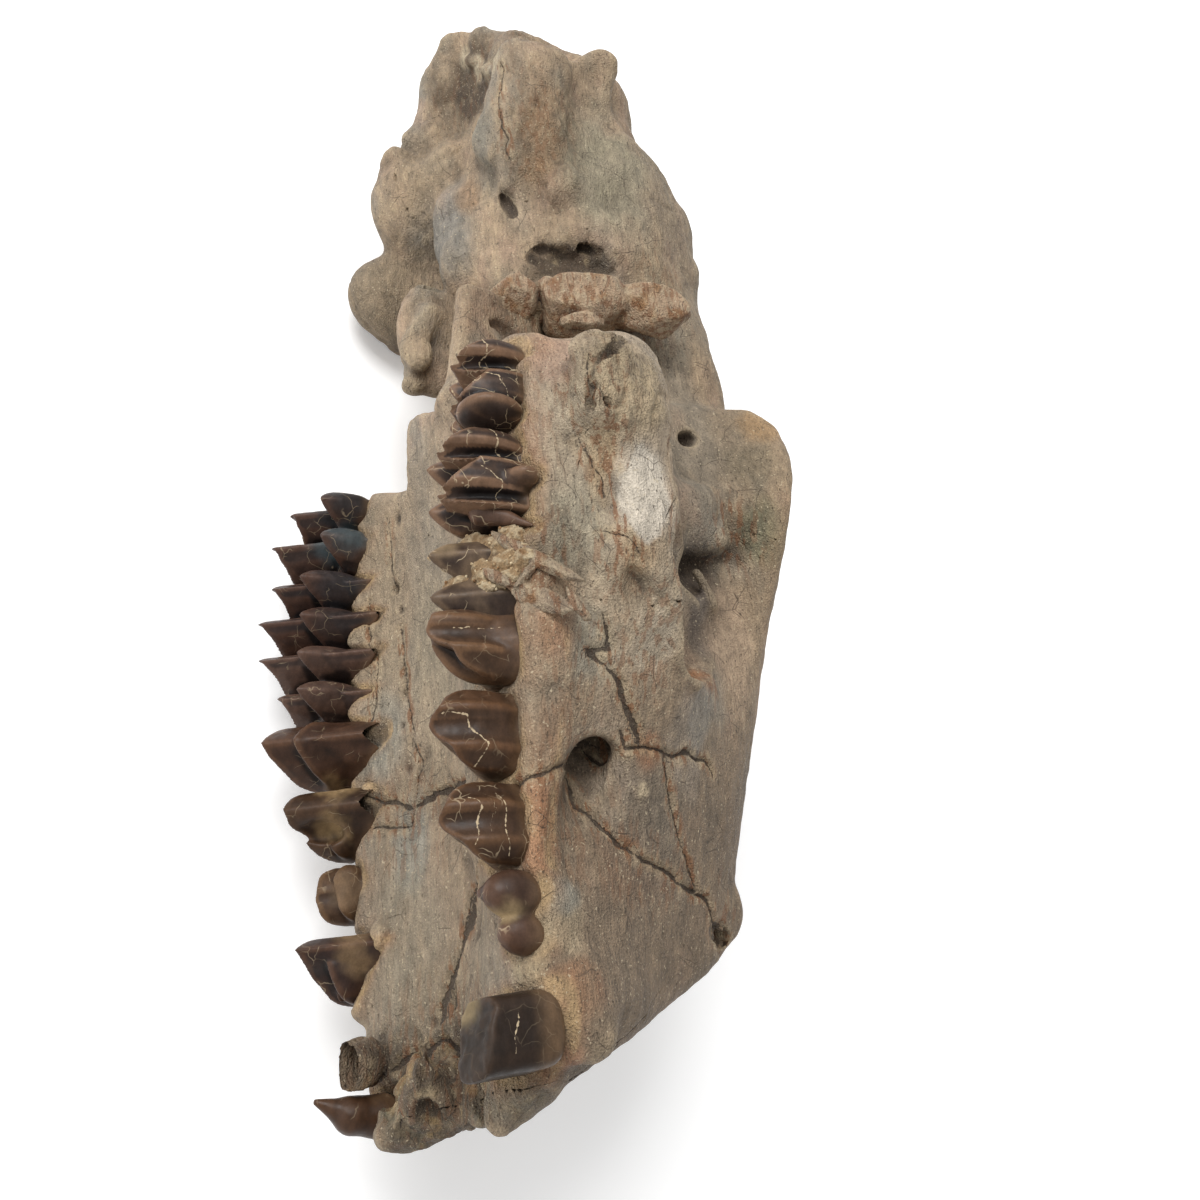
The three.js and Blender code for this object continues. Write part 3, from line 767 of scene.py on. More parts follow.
def broken(shape, cut, depth, seed):
    """A shape ended by a rough break: cut gives the distance past the break's plane."""
    def field(x, y, z):
        x, y, z = np.broadcast_arrays(x, y, z)
        p = np.stack([x.ravel(), y.ravel(), z.ravel()], 1)
        rough = layers(p, 3.0, seed).reshape(x.shape) * depth
        return soft_max(shape(x, y, z), cut(x, y, z) + rough, 0.5)
    return field


def canine_root(x, w, z):
    """The root of the right canine, D shaped across: flat outside, round inside."""
    across = np.abs(x - 107.6 + 0.12 * z) - 4.9
    outside = w - 24.4 - 0.16 * z + 0.012 * (x - 108) ** 2
    return soft_max(soft_max(across, outside, 2.6), soft_max(15.5 - w, z - 4.5, 2), 3.0)


PREMOLAR = dict(hollow=(-0.7, -0.3), style=(0, 0), ends=(2.2, 2.4), power=1.7, inset=1.6)
TEETH = {
    "right": [
        ("m3", crown(-1, 3.0, 19.0, (33.0, 31.4), 17, 2, (11, 11), tip=0.3, hollow=(-1.4, 2.8),
                     style=(0, 0.3, 0), ends=(6.0, 1.2), shelf=0.7, skew=1.0, cap=0.8,
                     extra=[((17.6, 28.6, -3.2), (2.2, 4.8, 5.4))])),
        ("m2", crown(-1, 20, 35.4, (30.6, 31.4), 17, 0.5, (12.0, 12.5), tip=0.3, hollow=(-1.3, 2.6),
                     style=(0, 1.0, 0), ends=(4.5, 1.2), shelf=0.9, skew=1.8,
                     extra=[((30.6, 32.0, -0.8), (1.5, 2.8, 2.6))])),
        ("m2_spur", stump(-1, rod((34.2, 26.0, -4.2), (38.6, 32.2, 0.6), 2.2, 0.15),
                          (30, 21, -8), (41, 35, 3))),
        ("m1", crown(-1, 37.4, 51.4, (30, 30), 17, 0, (11, 11), outer=False, shelf=1.0)),
        ("p4", crown(-1, 47.8, 60.4, (24.0, 26.2), 16.5, 0, (12.2,), tip=-0.2, drop=(0.2, 0.55), lean=3.6,
                     skew=1.5, slant=3.8,
                     **dict(PREMOLAR, ribs=((0.4, 1.9), (-0.45, 1.2)), hollow=(0.1, 0.6)))),
        ("p3", crown(-1, 60.8, 73.8, (24.0, 24.0), 16, 0, (11.6,), tip=-0.1, drop=(0.42, 0.48), shelf=0.5,
                     lean=4.0, **dict(PREMOLAR, ribs=((-0.4, 1.5), (0.5, 1.5)), hollow=(0.2, 0.5)))),
        ("p2", crown(-1, 74.2, 86.8, (23.2, 24.2), 15.5, 0, (10.6,), tip=-0.1, drop=(0.45, 0.55), shelf=0.45,
                     lean=4.2, **dict(PREMOLAR, ribs=((-0.3, 1.4), (0.5, 1.2)), hollow=(0.2, 0.5)))),
        ("p1", stump(-1, join(0.8, ball((90.4, 21.8, -0.6), (3.3, 3.0, 4.8)),
                              ball((95.5, 21.6, 0.4), (2.8, 2.5, 3.8)),
                              rod((90, 20, -4.6), (90.4, 21.5, -2), 0.7, 2.0)), (86, 17, -7), (99.5, 26, 4))),
        ("c", stump(-1, broken(canine_root, lambda x, y, z: -z - 6.6 + 0.1 * (108 - x), 1.0, 5),
                    (100, 12, -10), (116, 29, 9))),
    ],
    "left": [
        ("m3", crown(1, 3.0, 18.8, (33.0, 34.0), 16.5, 1.5, (11.5, 15.0), tip=-0.35, lean=3.4, shelf=0.76,
                     fold=6.5, style=(0.3, 0.8, 0.6), cap=1.2)),
        ("m2", crown(1, 18.6, 34.0, (34.5, 34.5), 19.6, 0.5, (13.6, 16.0), tip=-0.2, lean=3.8, shelf=0.78,
                     fold=6.5, cap=1.2)),
        ("m1", crown(1, 33.8, 47.6, (34, 33), 20.2, 0, (15.4, 12.0), tip=-0.2, lean=3.2, shelf=0.82,
                     fold=6.5, cap=1.2)),
        ("p4", crown(1, 48.2, 60.0, (31, 30.5), 19.8, 0, (15.6,), tip=-0.2, lean=3.2, fold=6.0, shelf=0.76,
                     hollow=(0.2, 0.6), style=(0.2, 0.2), ends=(1.6, 2.4), drop=(0.35, 0.6), cap=1.2)),
        ("p3", crown(1, 60.6, 72.6, (28, 28), 20.5, 0, (12.5,), tip=-0.3, lean=2.5, fold=3.0, shelf=0.55,
                     hollow=(0.0, 0.4), style=(0, 0), ends=(2.2, 2.2), drop=(0.3, 0.75), power=1.4, cap=1.2,
                     bites=[((68.6, 23.6, -7.5), (2.0, 3.4, 5.0))])),
        ("p2", crown(1, 72.9, 83.4, (27, 27), 19.4, 0, (6.4,), tip=0.0, lean=1.5, fold=2.6, shelf=0.8,
                     hollow=(-0.3, -0.3), style=(0, 0), ends=(2.8, 2.8), drop=(0.3, 0.35), power=1.8,
                     bites=[((79.0, 20.5, -6.0), (3.2, 4.0, 2.6))])),
        ("p1", crown(1, 85.0, 96.0, (26.5, 26.5), 18.6, 0, (10.8,), tip=-0.55, lean=2.2, fold=3.4, shelf=0.6,
                     hollow=(0.0, 0.6), style=(0, 0), ends=(2.0, 2.0), drop=(0.3, 0.8), power=1.1)),
        ("c", stump(1, join(1.0, rod((112.6, 17.5, 0), (112.2, 18, -4.5), 3.2, 2.5),
                            rod((112.2, 18, -4.5), (110.2, 18.6, -9.6), 2.5, 0.5)),
                    (105, 12, -12), (117, 23, 3))),
    ],
}


# ---- cracks, each drawn on one face: half widths in mm at its start and end, and its stations
# on the right side (x, z), open from under the fourth premolar up to the side of the snout
SIDE_CRACKS = [
    (0.22, 0.4, [(52, 9.6), (56.5, 12), (57, 9), (59, 11.5)]),
    (0.32, 0.62, [(59, 11.5), (61.5, 13.5), (65.5, 17), (68.6, 19.4)]),
    (0.25, 0.3, [(67, 15), (70, 16.5), (69.2, 20), (69.3, 26), (68.4, 30), (68.7, 35), (70.2, 37)]),
    (0.18, 0.16, [(70, 24), (77, 26.8), (82, 29), (87.4, 34)]),
    (0.3, 0.35, [(71.5, 10.3), (77, 11), (81, 13.6), (84, 18.5)]),
    (0.3, 0.45, [(84, 18.5), (86.5, 28), (88, 35.5), (91, 38)]),
    (0.7, 1.0, [(91, 38), (93.2, 43.5)]),
    (0.25, 0.25, [(73.6, -2), (75.6, 0.5), (73, 6), (71.6, 10.3)]),
    (0.16, 0.14, [(39.7, 8), (41.5, 11.5), (44, 14)]),
    (0.14, 0.14, [(20, 22), (26, 20), (33, 21), (38, 18)]),
    (0.12, 0.22, [(13.5, 4.4), (16.6, 4.0), (19.5, 5.6), (22.3, 7.6)]),
    (0.1, 0.12, [(24.2, 5.2), (27, 6.8), (31, 8.2), (36, 10.6)]),
]
# on the palate (x, y)
PALATE_CRACKS = [
    (0.5, 0.7, [(82, -9.3), (87, -6.4), (91, -3.7), (98, 2), (102.5, 4.3)]),
    (0.2, 0.3, [(84, -6), (91.7, -2.6), (97.6, 0), (103.2, 1.6)]),
    (0.3, 0.55, [(63.5, 18.4), (66.2, 12.6), (68, 9.6)]),
    (0.7, 0.45, [(68, 8.6), (67.5, 4), (68.2, -1), (68.6, -6)]),
    (0.18, 0.25, [(57, 8.4), (63, 7.9), (67, 8.6)]),
    (0.2, 0.15, [(69, 18), (71.2, 10), (68.5, 8.6)]),
    (0.5, 0.4, [(106.4, 14), (105.5, 9), (104.6, 4), (106.6, 0), (108, -5)]),
    (0.13, 0.15, [(58, 9), (47, 10.6), (34, 11.5)]),
    (0.1, 0.14, [(28, 12), (22, 12.5), (12, 11)]),
    (0.12, 0.12, [(26, 19), (40, 17.4), (52, 17.8)]),
    (0.14, 0.14, [(110, 10), (114, 5), (117, 6)]),
    (0.16, 0.16, [(107, -9), (112, -11), (116, -10)]),
]
# on the skull base (x, y), where its plates have come apart
BASE_CRACKS = [
    (0.16, 0.14, [(-86, -18.5), (-74, -15.5), (-62, -15)]),
    (0.14, 0.14, [(-60, -29), (-48, -26), (-39, -25)]),
]


FAR = 9.0  # distance kept where no crack or tooth is near, in mm
CLOSED = -5.0  # half width kept where there is no crack, in mm


def crack_marks(p, u, v, here, lines, seed):
    """Signed distance in mm to the nearest crack, and its half width there.

    u and v are the points' places on the face the lines are drawn on, and `here` says which lie on it.
    """
    near, width = np.full(len(u), FAR), np.full(len(u), CLOSED)
    spots = np.nonzero(here)[0]
    if not len(spots):
        return near, width
    q = p[spots]
    bend, kink = noise(q, 3.2, seed), noise(q, 1.1, seed + 1)
    turn = noise(q, 3.2, seed + 2)
    a, b = u[spots] + 0.55 * bend + 0.2 * kink, v[spots] + 0.55 * turn - 0.2 * kink
    s, w = near[spots], width[spots]
    for first, last, line in lines:
        line = np.array(line, float)
        steps = np.hypot(*(line[1:] - line[:-1]).T)
        done = np.concatenate([[0], np.cumsum(steps)])
        for k, long in enumerate(steps):
            e = (line[k + 1] - line[k]) / long
            du, dv = a - line[k, 0], b - line[k, 1]
            run = du * e[0] + dv * e[1]
            t = np.clip(run, 0, long)
            away = np.hypot(du - t * e[0], dv - t * e[1])
            nearer = away < np.abs(s)
            side = np.where(du * e[1] - dv * e[0] < 0, -1.0, 1.0)
            at = done[k] + t
            thick = first + (last - first) * at / done[-1]
            thick = thick * (0.35 + 0.65 * np.clip(np.minimum(at, done[-1] - at) / 2.0, 0, 1))
            past = np.where((run < 0) & (k == 0), -run, 0)
            past = past + np.where((run > long) & (k == len(steps) - 1), run - long, 0)
            s = np.where(nearer, side * away, s)
            w = np.where(nearer, thick - past, w)
    w = w * (1 + 0.55 * noise(q, 1.7, seed + 3))
    w = np.where(np.abs(s) > 1.9, CLOSED, w)
    near[spots], width[spots] = s, w
    return near, width


# ---- colour
def srgb(text):
    """Linear red, green, blue and alpha from an sRGB hex value."""
    parts = [int(text[k:k + 2], 16) / 255 for k in (1, 3, 5)]
    return [v / 12.92 if v <= 0.04045 else ((v + 0.055) / 1.055) ** 2.4 for v in parts] + [1.0]


def even_tone(count, colour):
    """One linear colour at each of `count` points."""
    tone = np.empty((count, 3))
    tone[:] = colour[:3]
    return tone


def blend(tone, mask, colour):
    """Moves tone towards a hex colour by the mask."""
    tone += (np.array(srgb(colour)[:3]) - tone) * np.clip(mask, 0, 1)[:, None]


def zone(p, centre, radii, wobble, soft=0.35):
    """1 inside an ellipsoid with a ragged edge, falling to 0 outside it."""
    q = (p - np.array(centre, float)) / np.array(radii, float)
    away = np.sqrt((q * q).sum(1))
    out = np.zeros(len(p))
    near = away < 1.7
    out[near] = 1 - smooth(1 - soft, 1 + soft, away[near] + 0.32 * wobble[near])
    return out


def strongest(spots, p, wobble, soft=0.35):
    """The strongest of several spots, each (middle, radii, strength), at each point."""
    out = np.zeros(len(p))
    for centre, radii, much in spots:
        out = np.maximum(out, much * zone(p, centre, radii, wobble, soft))
    return out


def shape_of(field, p, h):
    """How sharply the surface bulges (positive) or dips (negative) over h mm, per mm."""
    total = -6 * field(*p.T)
    for k in range(3):
        for d in (-h, h):
            q = p.copy()
            q[:, k] += d
            total = total + field(*q.T)
    return total / h ** 2


# mineral stains, and a few patches of painted shade marked below: colour, middle, radii and strength
STAINS = [
    # palate
    ("#8f9089", (53, 16.5, 0.5), (9, 5, 5), 0.55), ("#8f9089", (74, 9, 1), (7, 4, 5), 0.7),
    ("#8d8778", (90, 10, 1), (14, 8, 5), 0.4), ("#9c8d78", (30, 18, 1), (18, 9, 6), 0.5),
    ("#7d6f5c", (98, 3, 1), (6, 8, 5), 0.5), ("#a5977f", (48, 2, 2), (20, 6, 5), 0.4),
    # right cheek
    ("#bbaa96", (30, -39, 13), (38, 12, 13), 0.7), ("#c0ad90", (17, -44, 11), (9, 8, 8), 0.8),
    ("#d2c9bd", (34.5, -42, 14.5), (8.5, 7, 4.4), 1.0), ("#ad8e68", (46, -39.5, 15), (7.5, 5, 5), 0.6),
    ("#a0835a", (30, -41, 8), (9, 4, 2.2), 0.55), ("#ab9f8c", (22, -36, 4), (12, 9, 6), 0.55),
    ("#8b8878", (40, -36, 6), (8, 6, 5), 0.55), ("#b08a78", (8, -37, 5), (7, 6, 5), 0.5),
    ("#b39079", (24, -32, 0), (8, 6, 3), 0.4), ("#b3a898", (50, -37, 18), (12, 8, 4), 0.6),
    ("#b3a28c", (50, -34, 10), (8, 7, 5), 0.6), ("#8a8c84", (56, -32, 8), (5, 5, 5), 0.5),
    ("#a8795a", (54, -30, 3), (5, 4, 3.5), 0.55), ("#958a7e", (66, -28, 29), (9, 8, 5), 0.6),
    ("#8e8c86", (62, -30, 32), (8, 4, 4), 0.5), ("#7d5f49", (86, -23, 18), (5, 6, 7), 0.5),
    ("#a06a45", (69.5, -27, 20), (3, 4, 3), 0.7), ("#7c7468", (80, -26, 22), (10, 8, 8), 0.4),
    ("#8d7f6c", (66, -29, 14), (9, 5, 6), 0.4), ("#948679", (71, -25, 13), (7, 6, 6), 0.6),
    # hollow before the eye, its rim and the orbit; the first two are painted shade, in the deep pit and
    # inside the hollow under its lip
    ("#41362f", (33, -25, 40.5), (5.5, 6, 5.5), 0.9), ("#695f59", (42, -24.5, 39.5), (9, 5, 3.2), 0.8),
    ("#b39c86", (46, -25, 45), (12, 7, 4.5), 0.8), ("#b07a50", (54.5, -29, 34), (3, 5, 4.5), 0.8),
    ("#8e8f8a", (56, -30, 39), (7, 5, 6), 0.4), ("#a08a6e", (24, -28, 48), (5, 4, 3), 0.6),
    ("#6f7259", (24, -30, 52), (7, 5, 4), 0.6), ("#8d7d69", (6, -27, 46), (14, 8, 14), 0.5),
    ("#9b7f62", (30, -30, 56), (20, 8, 4), 0.4), ("#b39168", (1, -32, 56), (5, 4, 5), 0.7),
    ("#6e6a58", (12, -30, 52), (6, 6, 4), 0.4),
    # snout
    ("#62523f", (112, -8, 12), (10, 16, 12), 0.55), ("#55462f", (113, 6, 0), (8, 12, 7), 0.5),
    ("#a9714b", (82, -25, 1.5), (7, 3, 2.6), 0.6), ("#9a6a4a", (103, -27, 5), (4, 4, 6), 0.45),
    ("#a06a50", (112, -24, 3), (3, 5, 4), 0.5), ("#b3a389", (94, -24, 5), (4.5, 4, 3.2), 0.65),
    ("#8a8a84", (91, -24, 5), (2.4, 4, 3), 0.7), ("#b4a384", (98, -22, 1), (4, 3, 2.2), 0.6),
    ("#7c7a66", (112, -12, 2), (6, 6, 5), 0.5), ("#5e4e3d", (109, -4, 1), (6, 7, 4), 0.55),
    ("#7f7f6a", (113, 8, -1), (5, 5, 4), 0.55), ("#4e4135", (110, 3, -1), (4, 4, 3), 0.5),
    ("#3d3429", (105, -4, 1), (3.2, 4.5, 3), 0.9), ("#96886c", (108, -16, 3), (5, 4, 4), 0.5),
    ("#4a3c30", (104, 14, -3), (1.6, 3, 3), 0.6),
    # back: saddle, boss, domes, block, hollow, brain, fragments
    ("#4e3e2c", (-97, -4, 16), (10, 9, 7), 0.95), ("#8d8a80", (-72, -9.5, 16), (7.5, 4, 5), 0.8),
    ("#7f7d79", (-58, 5, 15), (12, 7, 6), 0.8), ("#5c4e3f", (-58, 31, 12), (14, 10, 13), 0.85),
    ("#5f5040", (-84, 17, 14), (8, 8, 12), 0.6), ("#a08d74", (-80, 12, 12), (14, 9, 8), 0.5),
    ("#9e7f5e", (-70, -19, 24), (14, 6, 7), 0.65), ("#8f8d7b", (-62, -25, 33), (20, 7, 10), 0.65),
    ("#a4865c", (-36, -30, 45), (9, 9, 9), 0.4), ("#8c8272", (-50, -24, 50), (25, 10, 12), 0.4),
    # the first, at (-38, -17, 28), is painted shade in the ragged recess behind the cheek
    ("#4a3b2c", (-38, -17, 28), (5, 8, 9), 0.8), ("#a78f72", (-24, -19, 26), (8, 12, 12), 0.55),
    # the second, at (-15, -18, 12), is a painted shadow along the band below the loose fragments
    ("#b08a66", (-22, -22, 32), (3, 3, 5), 0.6), ("#5b3226", (-15, -18, 12), (4, 9, 6), 0.6),
    ("#a3927a", (-52, 25, 8), (12, 12, 8), 0.5), ("#957a63", (-22, -11, 6), (11, 5, 7), 0.75),
    ("#a98b72", (-34, -10, 14), (8, 4, 4), 0.4), ("#9a7a58", (-62, -2, 15), (5, 3, 4), 0.5),
    # the second, at (-56, -10, 19), is painted shade along the slot in the skull base
    ("#93826a", (-100, -8, 20), (8, 10, 8), 0.4), ("#463929", (-56, -10, 19), (4.5, 1.5, 2.5), 0.85),
    ("#4e3e2c", (-97, -4, 16), (9, 7, 6), 0.7), ("#c3b59d", (-105, -2.6, 16.5), (3.6, 2.0, 4), 0.95),
    ("#c3b59d", (-98.5, -6.3, 16.5), (3.6, 2.0, 4), 0.95),
    ("#c3b59d", (-92.5, -11, 16), (2.6, 2.6, 4), 0.95),
    ("#c3b59d", (-88, -16, 15.5), (2.4, 2.8, 4), 0.95), ("#62513d", (-104, 6, 18), (7, 4, 6), 0.5),
    ("#7c6a50", (-42, 18, 8), (6, 6, 6), 0.5),
]
# where iron has stained the bone in ochre streaks: middle, radii and strength
OCHRE = [
    ((22, -43, 7), (10, 6, 5), 1.0), ((38, -40, 11), (16, 7, 4.5), 1.0),
    ((42, -38, 19), (14, 6, 3), 0.8), ((56, -34, 17), (12, 7, 5), 0.7),
    ((60, -30, 6), (12, 5, 5), 0.45), ((25, -28, 47), (7, 5, 6), 0.9), ((54, -30, 36), (5, 5, 4), 0.9),
    ((76, -26, 8), (12, 6, 8), 0.5), ((45, -31, 1), (10, 8, 5), 0.8), ((86, -22, 20), (6, 6, 9), 0.6),
    ((90, -20, 40), (6, 5, 5), 0.7), ((70, 6, 0), (9, 14, 5), 0.6), ((108, 2, 0), (12, 20, 8), 0.5),
    ((-24, -20, 28), (10, 14, 16), 0.8), ((-72, -18, 22), (16, 7, 8), 0.5),
    ((-36, -30, 45), (12, 8, 12), 0.5), ((-95, -8, 18), (10, 18, 10), 0.4),
    ((20, -33, 2), (12, 6, 4), 0.4),
]
# rough places: middle, radii and how much the relief grows there
ROUGH = [
    ((17, -44, 11), (10, 9, 9), 1.0), ((46, -39, 15), (8, 6, 6), 0.6), ((110, 0, 0), (10, 22, 8), 1.0),
    ((-24, -19, 26), (9, 14, 18), 1.0), ((-38, -17, 28), (6, 9, 11), 1.2),
    ((-70, -18, 23), (20, 6, 8), 0.8), ((-44, 17, 9), (9, 9, 8), 0.8),
    ((-96, -4, 18), (12, 22, 10), 0.5), ((25, -27, 49), (5, 4, 4), 1.0), ((42, -30, 3), (8, 8, 5), 1.0),
    ((67, 8, 1), (6, 10, 5), 0.6), ((106, 16, -4), (7, 6, 7), 0.8),
]


def tooth_gap(p):
    """Distance from each point to the nearest tooth, in mm."""
    gap = np.full(len(p), FAR)
    for row in TEETH.values():
        for _, (field, low, high) in row:
            near = ((p > low - 3) & (p < high + 3)).all(1)
            if near.any():
                q = p[near]
                gap[near] = np.minimum(gap[near], field(*q.T))
    return gap


FLAKE = (34.5, -42, 14.5)  # middle of a pale flaked patch on the right cheek
FILLED = ((57.6, -31.6, 10.7), (75.2, -26.7, 19.8))  # two small round spots filled with pale mineral
WARMTH = np.array([1.03, 1.0, 0.93])  # what the bone's red, green and blue are multiplied by


def bone_cracks(p, n, down):
    """Signed distance and half width of the cracks on the side, the palate and the skull base."""
    x, y, z = p.T
    side = (y < -14) & (n[:, 1] < 0.1) & (x > 0)
    under = (z < 9) & (down > 0.05) & (x > 5) & (np.abs(y) < 21)
    base = (x < -20) & (z < 34) & (n[:, 2] < 0.3)
    s, w = crack_marks(p, x, z, side & ~under, SIDE_CRACKS, 60)
    for here, lines, seed in ((base, BASE_CRACKS, 62), (under, PALATE_CRACKS, 61)):
        near, width = crack_marks(p, x, y, here, lines, seed)
        s, w = np.where(here, near, s), np.where(here, width, w)
    return s, w


def bone_relief(p, rough, gap, s, w, flake, strength):
    """How far each point stands out of the smooth bone, in mm."""
    lift = strength * (
        0.2 * layers(p, (10, 6, 6), 41) + (0.1 + 0.2 * rough) * noise(p, (2.4, 1.3, 1.3), 42))
    lift += strength * (0.05 + 0.16 * rough) * noise(p, (1.3, 1.0, 1.0), 52)
    folds = 0.5 * smooth(0.16, 0.0, np.abs(noise(p, 6.5, 49)))
    lift += strength * rough * (0.55 * layers(p, (5.5, 4.5, 4.5), 43) - folds)
    folds = 0.3 * smooth(0.12, 0.0, np.abs(noise(p, (17, 12, 12), 51)))
    lift += strength * smooth(0, -30, p[:, 0]) * (0.8 * layers(p, (15, 11, 11), 50) - folds)
    lift -= np.clip(0.35 + 0.9 * w, 0, 1.3) * smooth(0.5, -0.15, np.abs(s) - w) * (w > 0)
    lift -= 0.45 * smooth(1.0, 0.2, gap) - 0.25 * smooth(0.8, 1.6, gap) * smooth(3.4, 2.0, gap)
    lift -= 0.3 * flake
    for at in FILLED:
        lift += 0.3 * zone(p, at, (1.3, 3, 1.3), np.zeros(len(p)), 0.2)
    return lift


def dressed_bone(p, outer, look):
    """Gives a bone's outer points their relief, and every point its colour and masks."""
    n = normals(skull, p, 0.5)
    fine, broad = shape_of(skull, p, 1.1), shape_of(skull, p, 3.5)
    wobble = layers(p, (5, 3.5, 3.5), 40)
    rough, ochre = strongest(ROUGH, p, wobble), strongest(OCHRE, p, wobble, 0.6)
    down = smooth(0.35, 0.8, -n[:, 2])
    s, w = bone_cracks(p, n, down)
    gap = tooth_gap(p)
    flake = zone(p, FLAKE, (8.5, 7, 4.0), 1.3 * wobble, 0.05)
    x, z = p[:, 0], p[:, 2]
    p = p + n * (bone_relief(p, rough, gap, s, w, flake, look.relief) * outer)[:, None]

    tone = even_tone(len(p), look.bone_colour)
    large, patch = layers(p, (26, 13, 13), 44), layers(p, (11, 6, 6), 45)
    streak, speck = layers(p, (7, 1.6, 1.6), 46), noise(p, (1.3, 0.9, 0.9), 47)
    blend(tone, smooth(-0.1, 0.5, large), "#928a7e")
    blend(tone, 0.6 * smooth(0.0, 0.6, patch), "#ab907c")
    blend(tone, 0.6 * smooth(0.0, 0.6, -patch), "#8a8375")
    blend(tone, 0.35 * smooth(0.1, 0.6, streak), "#b5a184")
    blend(tone, 0.45 * down * (z < 10) * (x > 4), "#9b8c79")
    # painted shade: the sides grow darker towards the snout, less so underneath
    blend(tone, 0.75 * smooth(48, 78, x) * (1 - 0.75 * down), "#776757")
    for colour, centre, radii, much in STAINS:
        blend(tone, much * zone(p, centre, radii, wobble), colour)
    end = zone(p, (112, 1, 0), (9, 17, 9), wobble)
    blend(tone, 0.75 * end * smooth(0.05, 0.3, layers(p, (4.0, 3.0, 3.0), 53)), "#3b3025")
    blend(tone, 0.7 * end * smooth(0.1, 0.35, layers(p, (3.4, 2.4, 2.4), 54)), "#a58a60")
    blend(tone, 0.5 * smooth(0.05, 0.45, wobble * 0.4 + streak * 0.6) * smooth(40, 60, x), "#84735f")
    tone *= (1 + 0.16 * streak + 0.10 * speck + 0.10 * patch)[:, None]
    # painted shade, with some dirt: darker in the hollows and creases
    blend(tone, 0.75 * smooth(0.12, 1.0, -fine) + 0.35 * smooth(0.06, 0.3, -broad), "#54473a")
    # painted highlight: paler on small smooth bulges
    blend(tone, 0.45 * smooth(0.1, 0.8, fine) * (1 - rough), "#b9a78c")
    crumbs = layers(p, (2.6, 2.2, 2.2), 48)
    blend(tone, 0.65 * (rough * smooth(0.1, 0.6, -crumbs)), "#5a4734")
    blend(tone, 0.5 * rough * smooth(0.25, 0.7, crumbs), "#c0ab88")
    blend(tone, 0.45 * smooth(3.2, 1.2, gap) * (0.6 + 0.9 * wobble), "#9c7455")
    blend(tone, 0.9 * smooth(1.7, 0.9, gap) * smooth(-0.5, 0.3, wobble), "#b59a74")
    blend(tone, 0.7 * smooth(0.3, 0.0, gap), "#3b3025")
    ochre = np.maximum(ochre, smooth(2.0, 0.4, np.abs(s) - np.maximum(w, 0)) * (w > 0.1))
    edge = smooth(1.0, 0.2, np.abs(np.abs(s) - np.maximum(w, 0) - 0.45)) * (w > 0)
    blend(tone, 0.35 * edge * (0.6 + 0.8 * wobble), "#b8a283")
    blend(tone, 0.95 * flake, "#d2c9bd")
    ochre = ochre * (1 - flake)
    for at in FILLED:
        blend(tone, 0.9 * zone(p, at, (1.1, 3, 1.1), np.zeros(len(p)), 0.15), "#b5a58c")
    masks = {"crack_side": s, "crack_width": w, "rough": np.clip(rough, 0, 1), "ochre": ochre}
    return p, tone * look.bone_shade * WARMTH, masks


# ---- making pieces
def new_object(name, data):
    """A new object in the scene."""
    thing = bpy.data.objects.new(name, data)
    bpy.context.scene.collection.objects.link(thing)
    return thing


def lay_tones(mesh, tones):
    """Keeps a colour at each point of a mesh."""
    layer = mesh.attributes.get("tone") or mesh.attributes.new("tone", "FLOAT_COLOR", "POINT")
    colours = np.column_stack([np.clip(tones, 0, 1), np.ones(len(tones))])
    layer.data.foreach_set("color", colours.astype(np.float32).ravel())


def mesh_object(name, points, quads, tones, masks, crease=50):
    """A mesh object from points in mm, with a colour and named masks at each point."""
    mesh = bpy.data.meshes.new(name)
    laid = to_ground(points)
    laid[:, 2] = np.maximum(laid[:, 2], 0)
    mesh.from_pydata(laid, [], quads.tolist())
    mesh.update()
    mesh.polygons.foreach_set("use_smooth", np.ones(len(quads), bool))
    mesh.set_sharp_from_angle(angle=math.radians(crease))
    lay_tones(mesh, tones)
    for key, values in masks.items():
        layer = mesh.attributes.new(key, "FLOAT", "POINT")
        layer.data.foreach_set("value", np.asarray(values, np.float32))
    return new_object(name, mesh)


def add_node(tree, kind, settings=None, **links):
    """A node with its settings; each link is a socket name (spaces as _) or n and its number."""
    node = tree.nodes.new(kind)
    for key, value in (settings or {}).items():
        if key in node.inputs:
            node.inputs[key].default_value = value
        else:
            setattr(node, key, value)
    for key, value in links.items():
        key = key.replace("_", " ")
        socket = node.inputs[int(key[1:])] if key[0] == "n" and key[1:].isdigit() else node.inputs[key]
        if isinstance(value, bpy.types.NodeSocket):
            tree.links.new(value, socket)
        else:
            socket.default_value = value
    return node


def new_material(name, rough, ior):
    """A material, its node tree, its shader and its Object coordinates."""
    material = bpy.data.materials.new(name)
    material.use_nodes = True
    tree = material.node_tree
    shader = tree.nodes["Principled BSDF"]
    shader.inputs["Roughness"].default_value = rough
    shader.inputs["IOR"].default_value = ior
    return material, tree, shader, add_node(tree, "ShaderNodeTexCoord").outputs["Object"]


def stretched(tree, value, low, high, to=(0.0, 1.0)):
    """The value stretched so that low becomes to[0] and high becomes to[1], and held between them."""
    ends = {"From Min": low, "From Max": high, "To Min": to[0], "To Max": to[1]}
    return add_node(tree, "ShaderNodeMapRange", ends, Value=value).outputs["Result"]


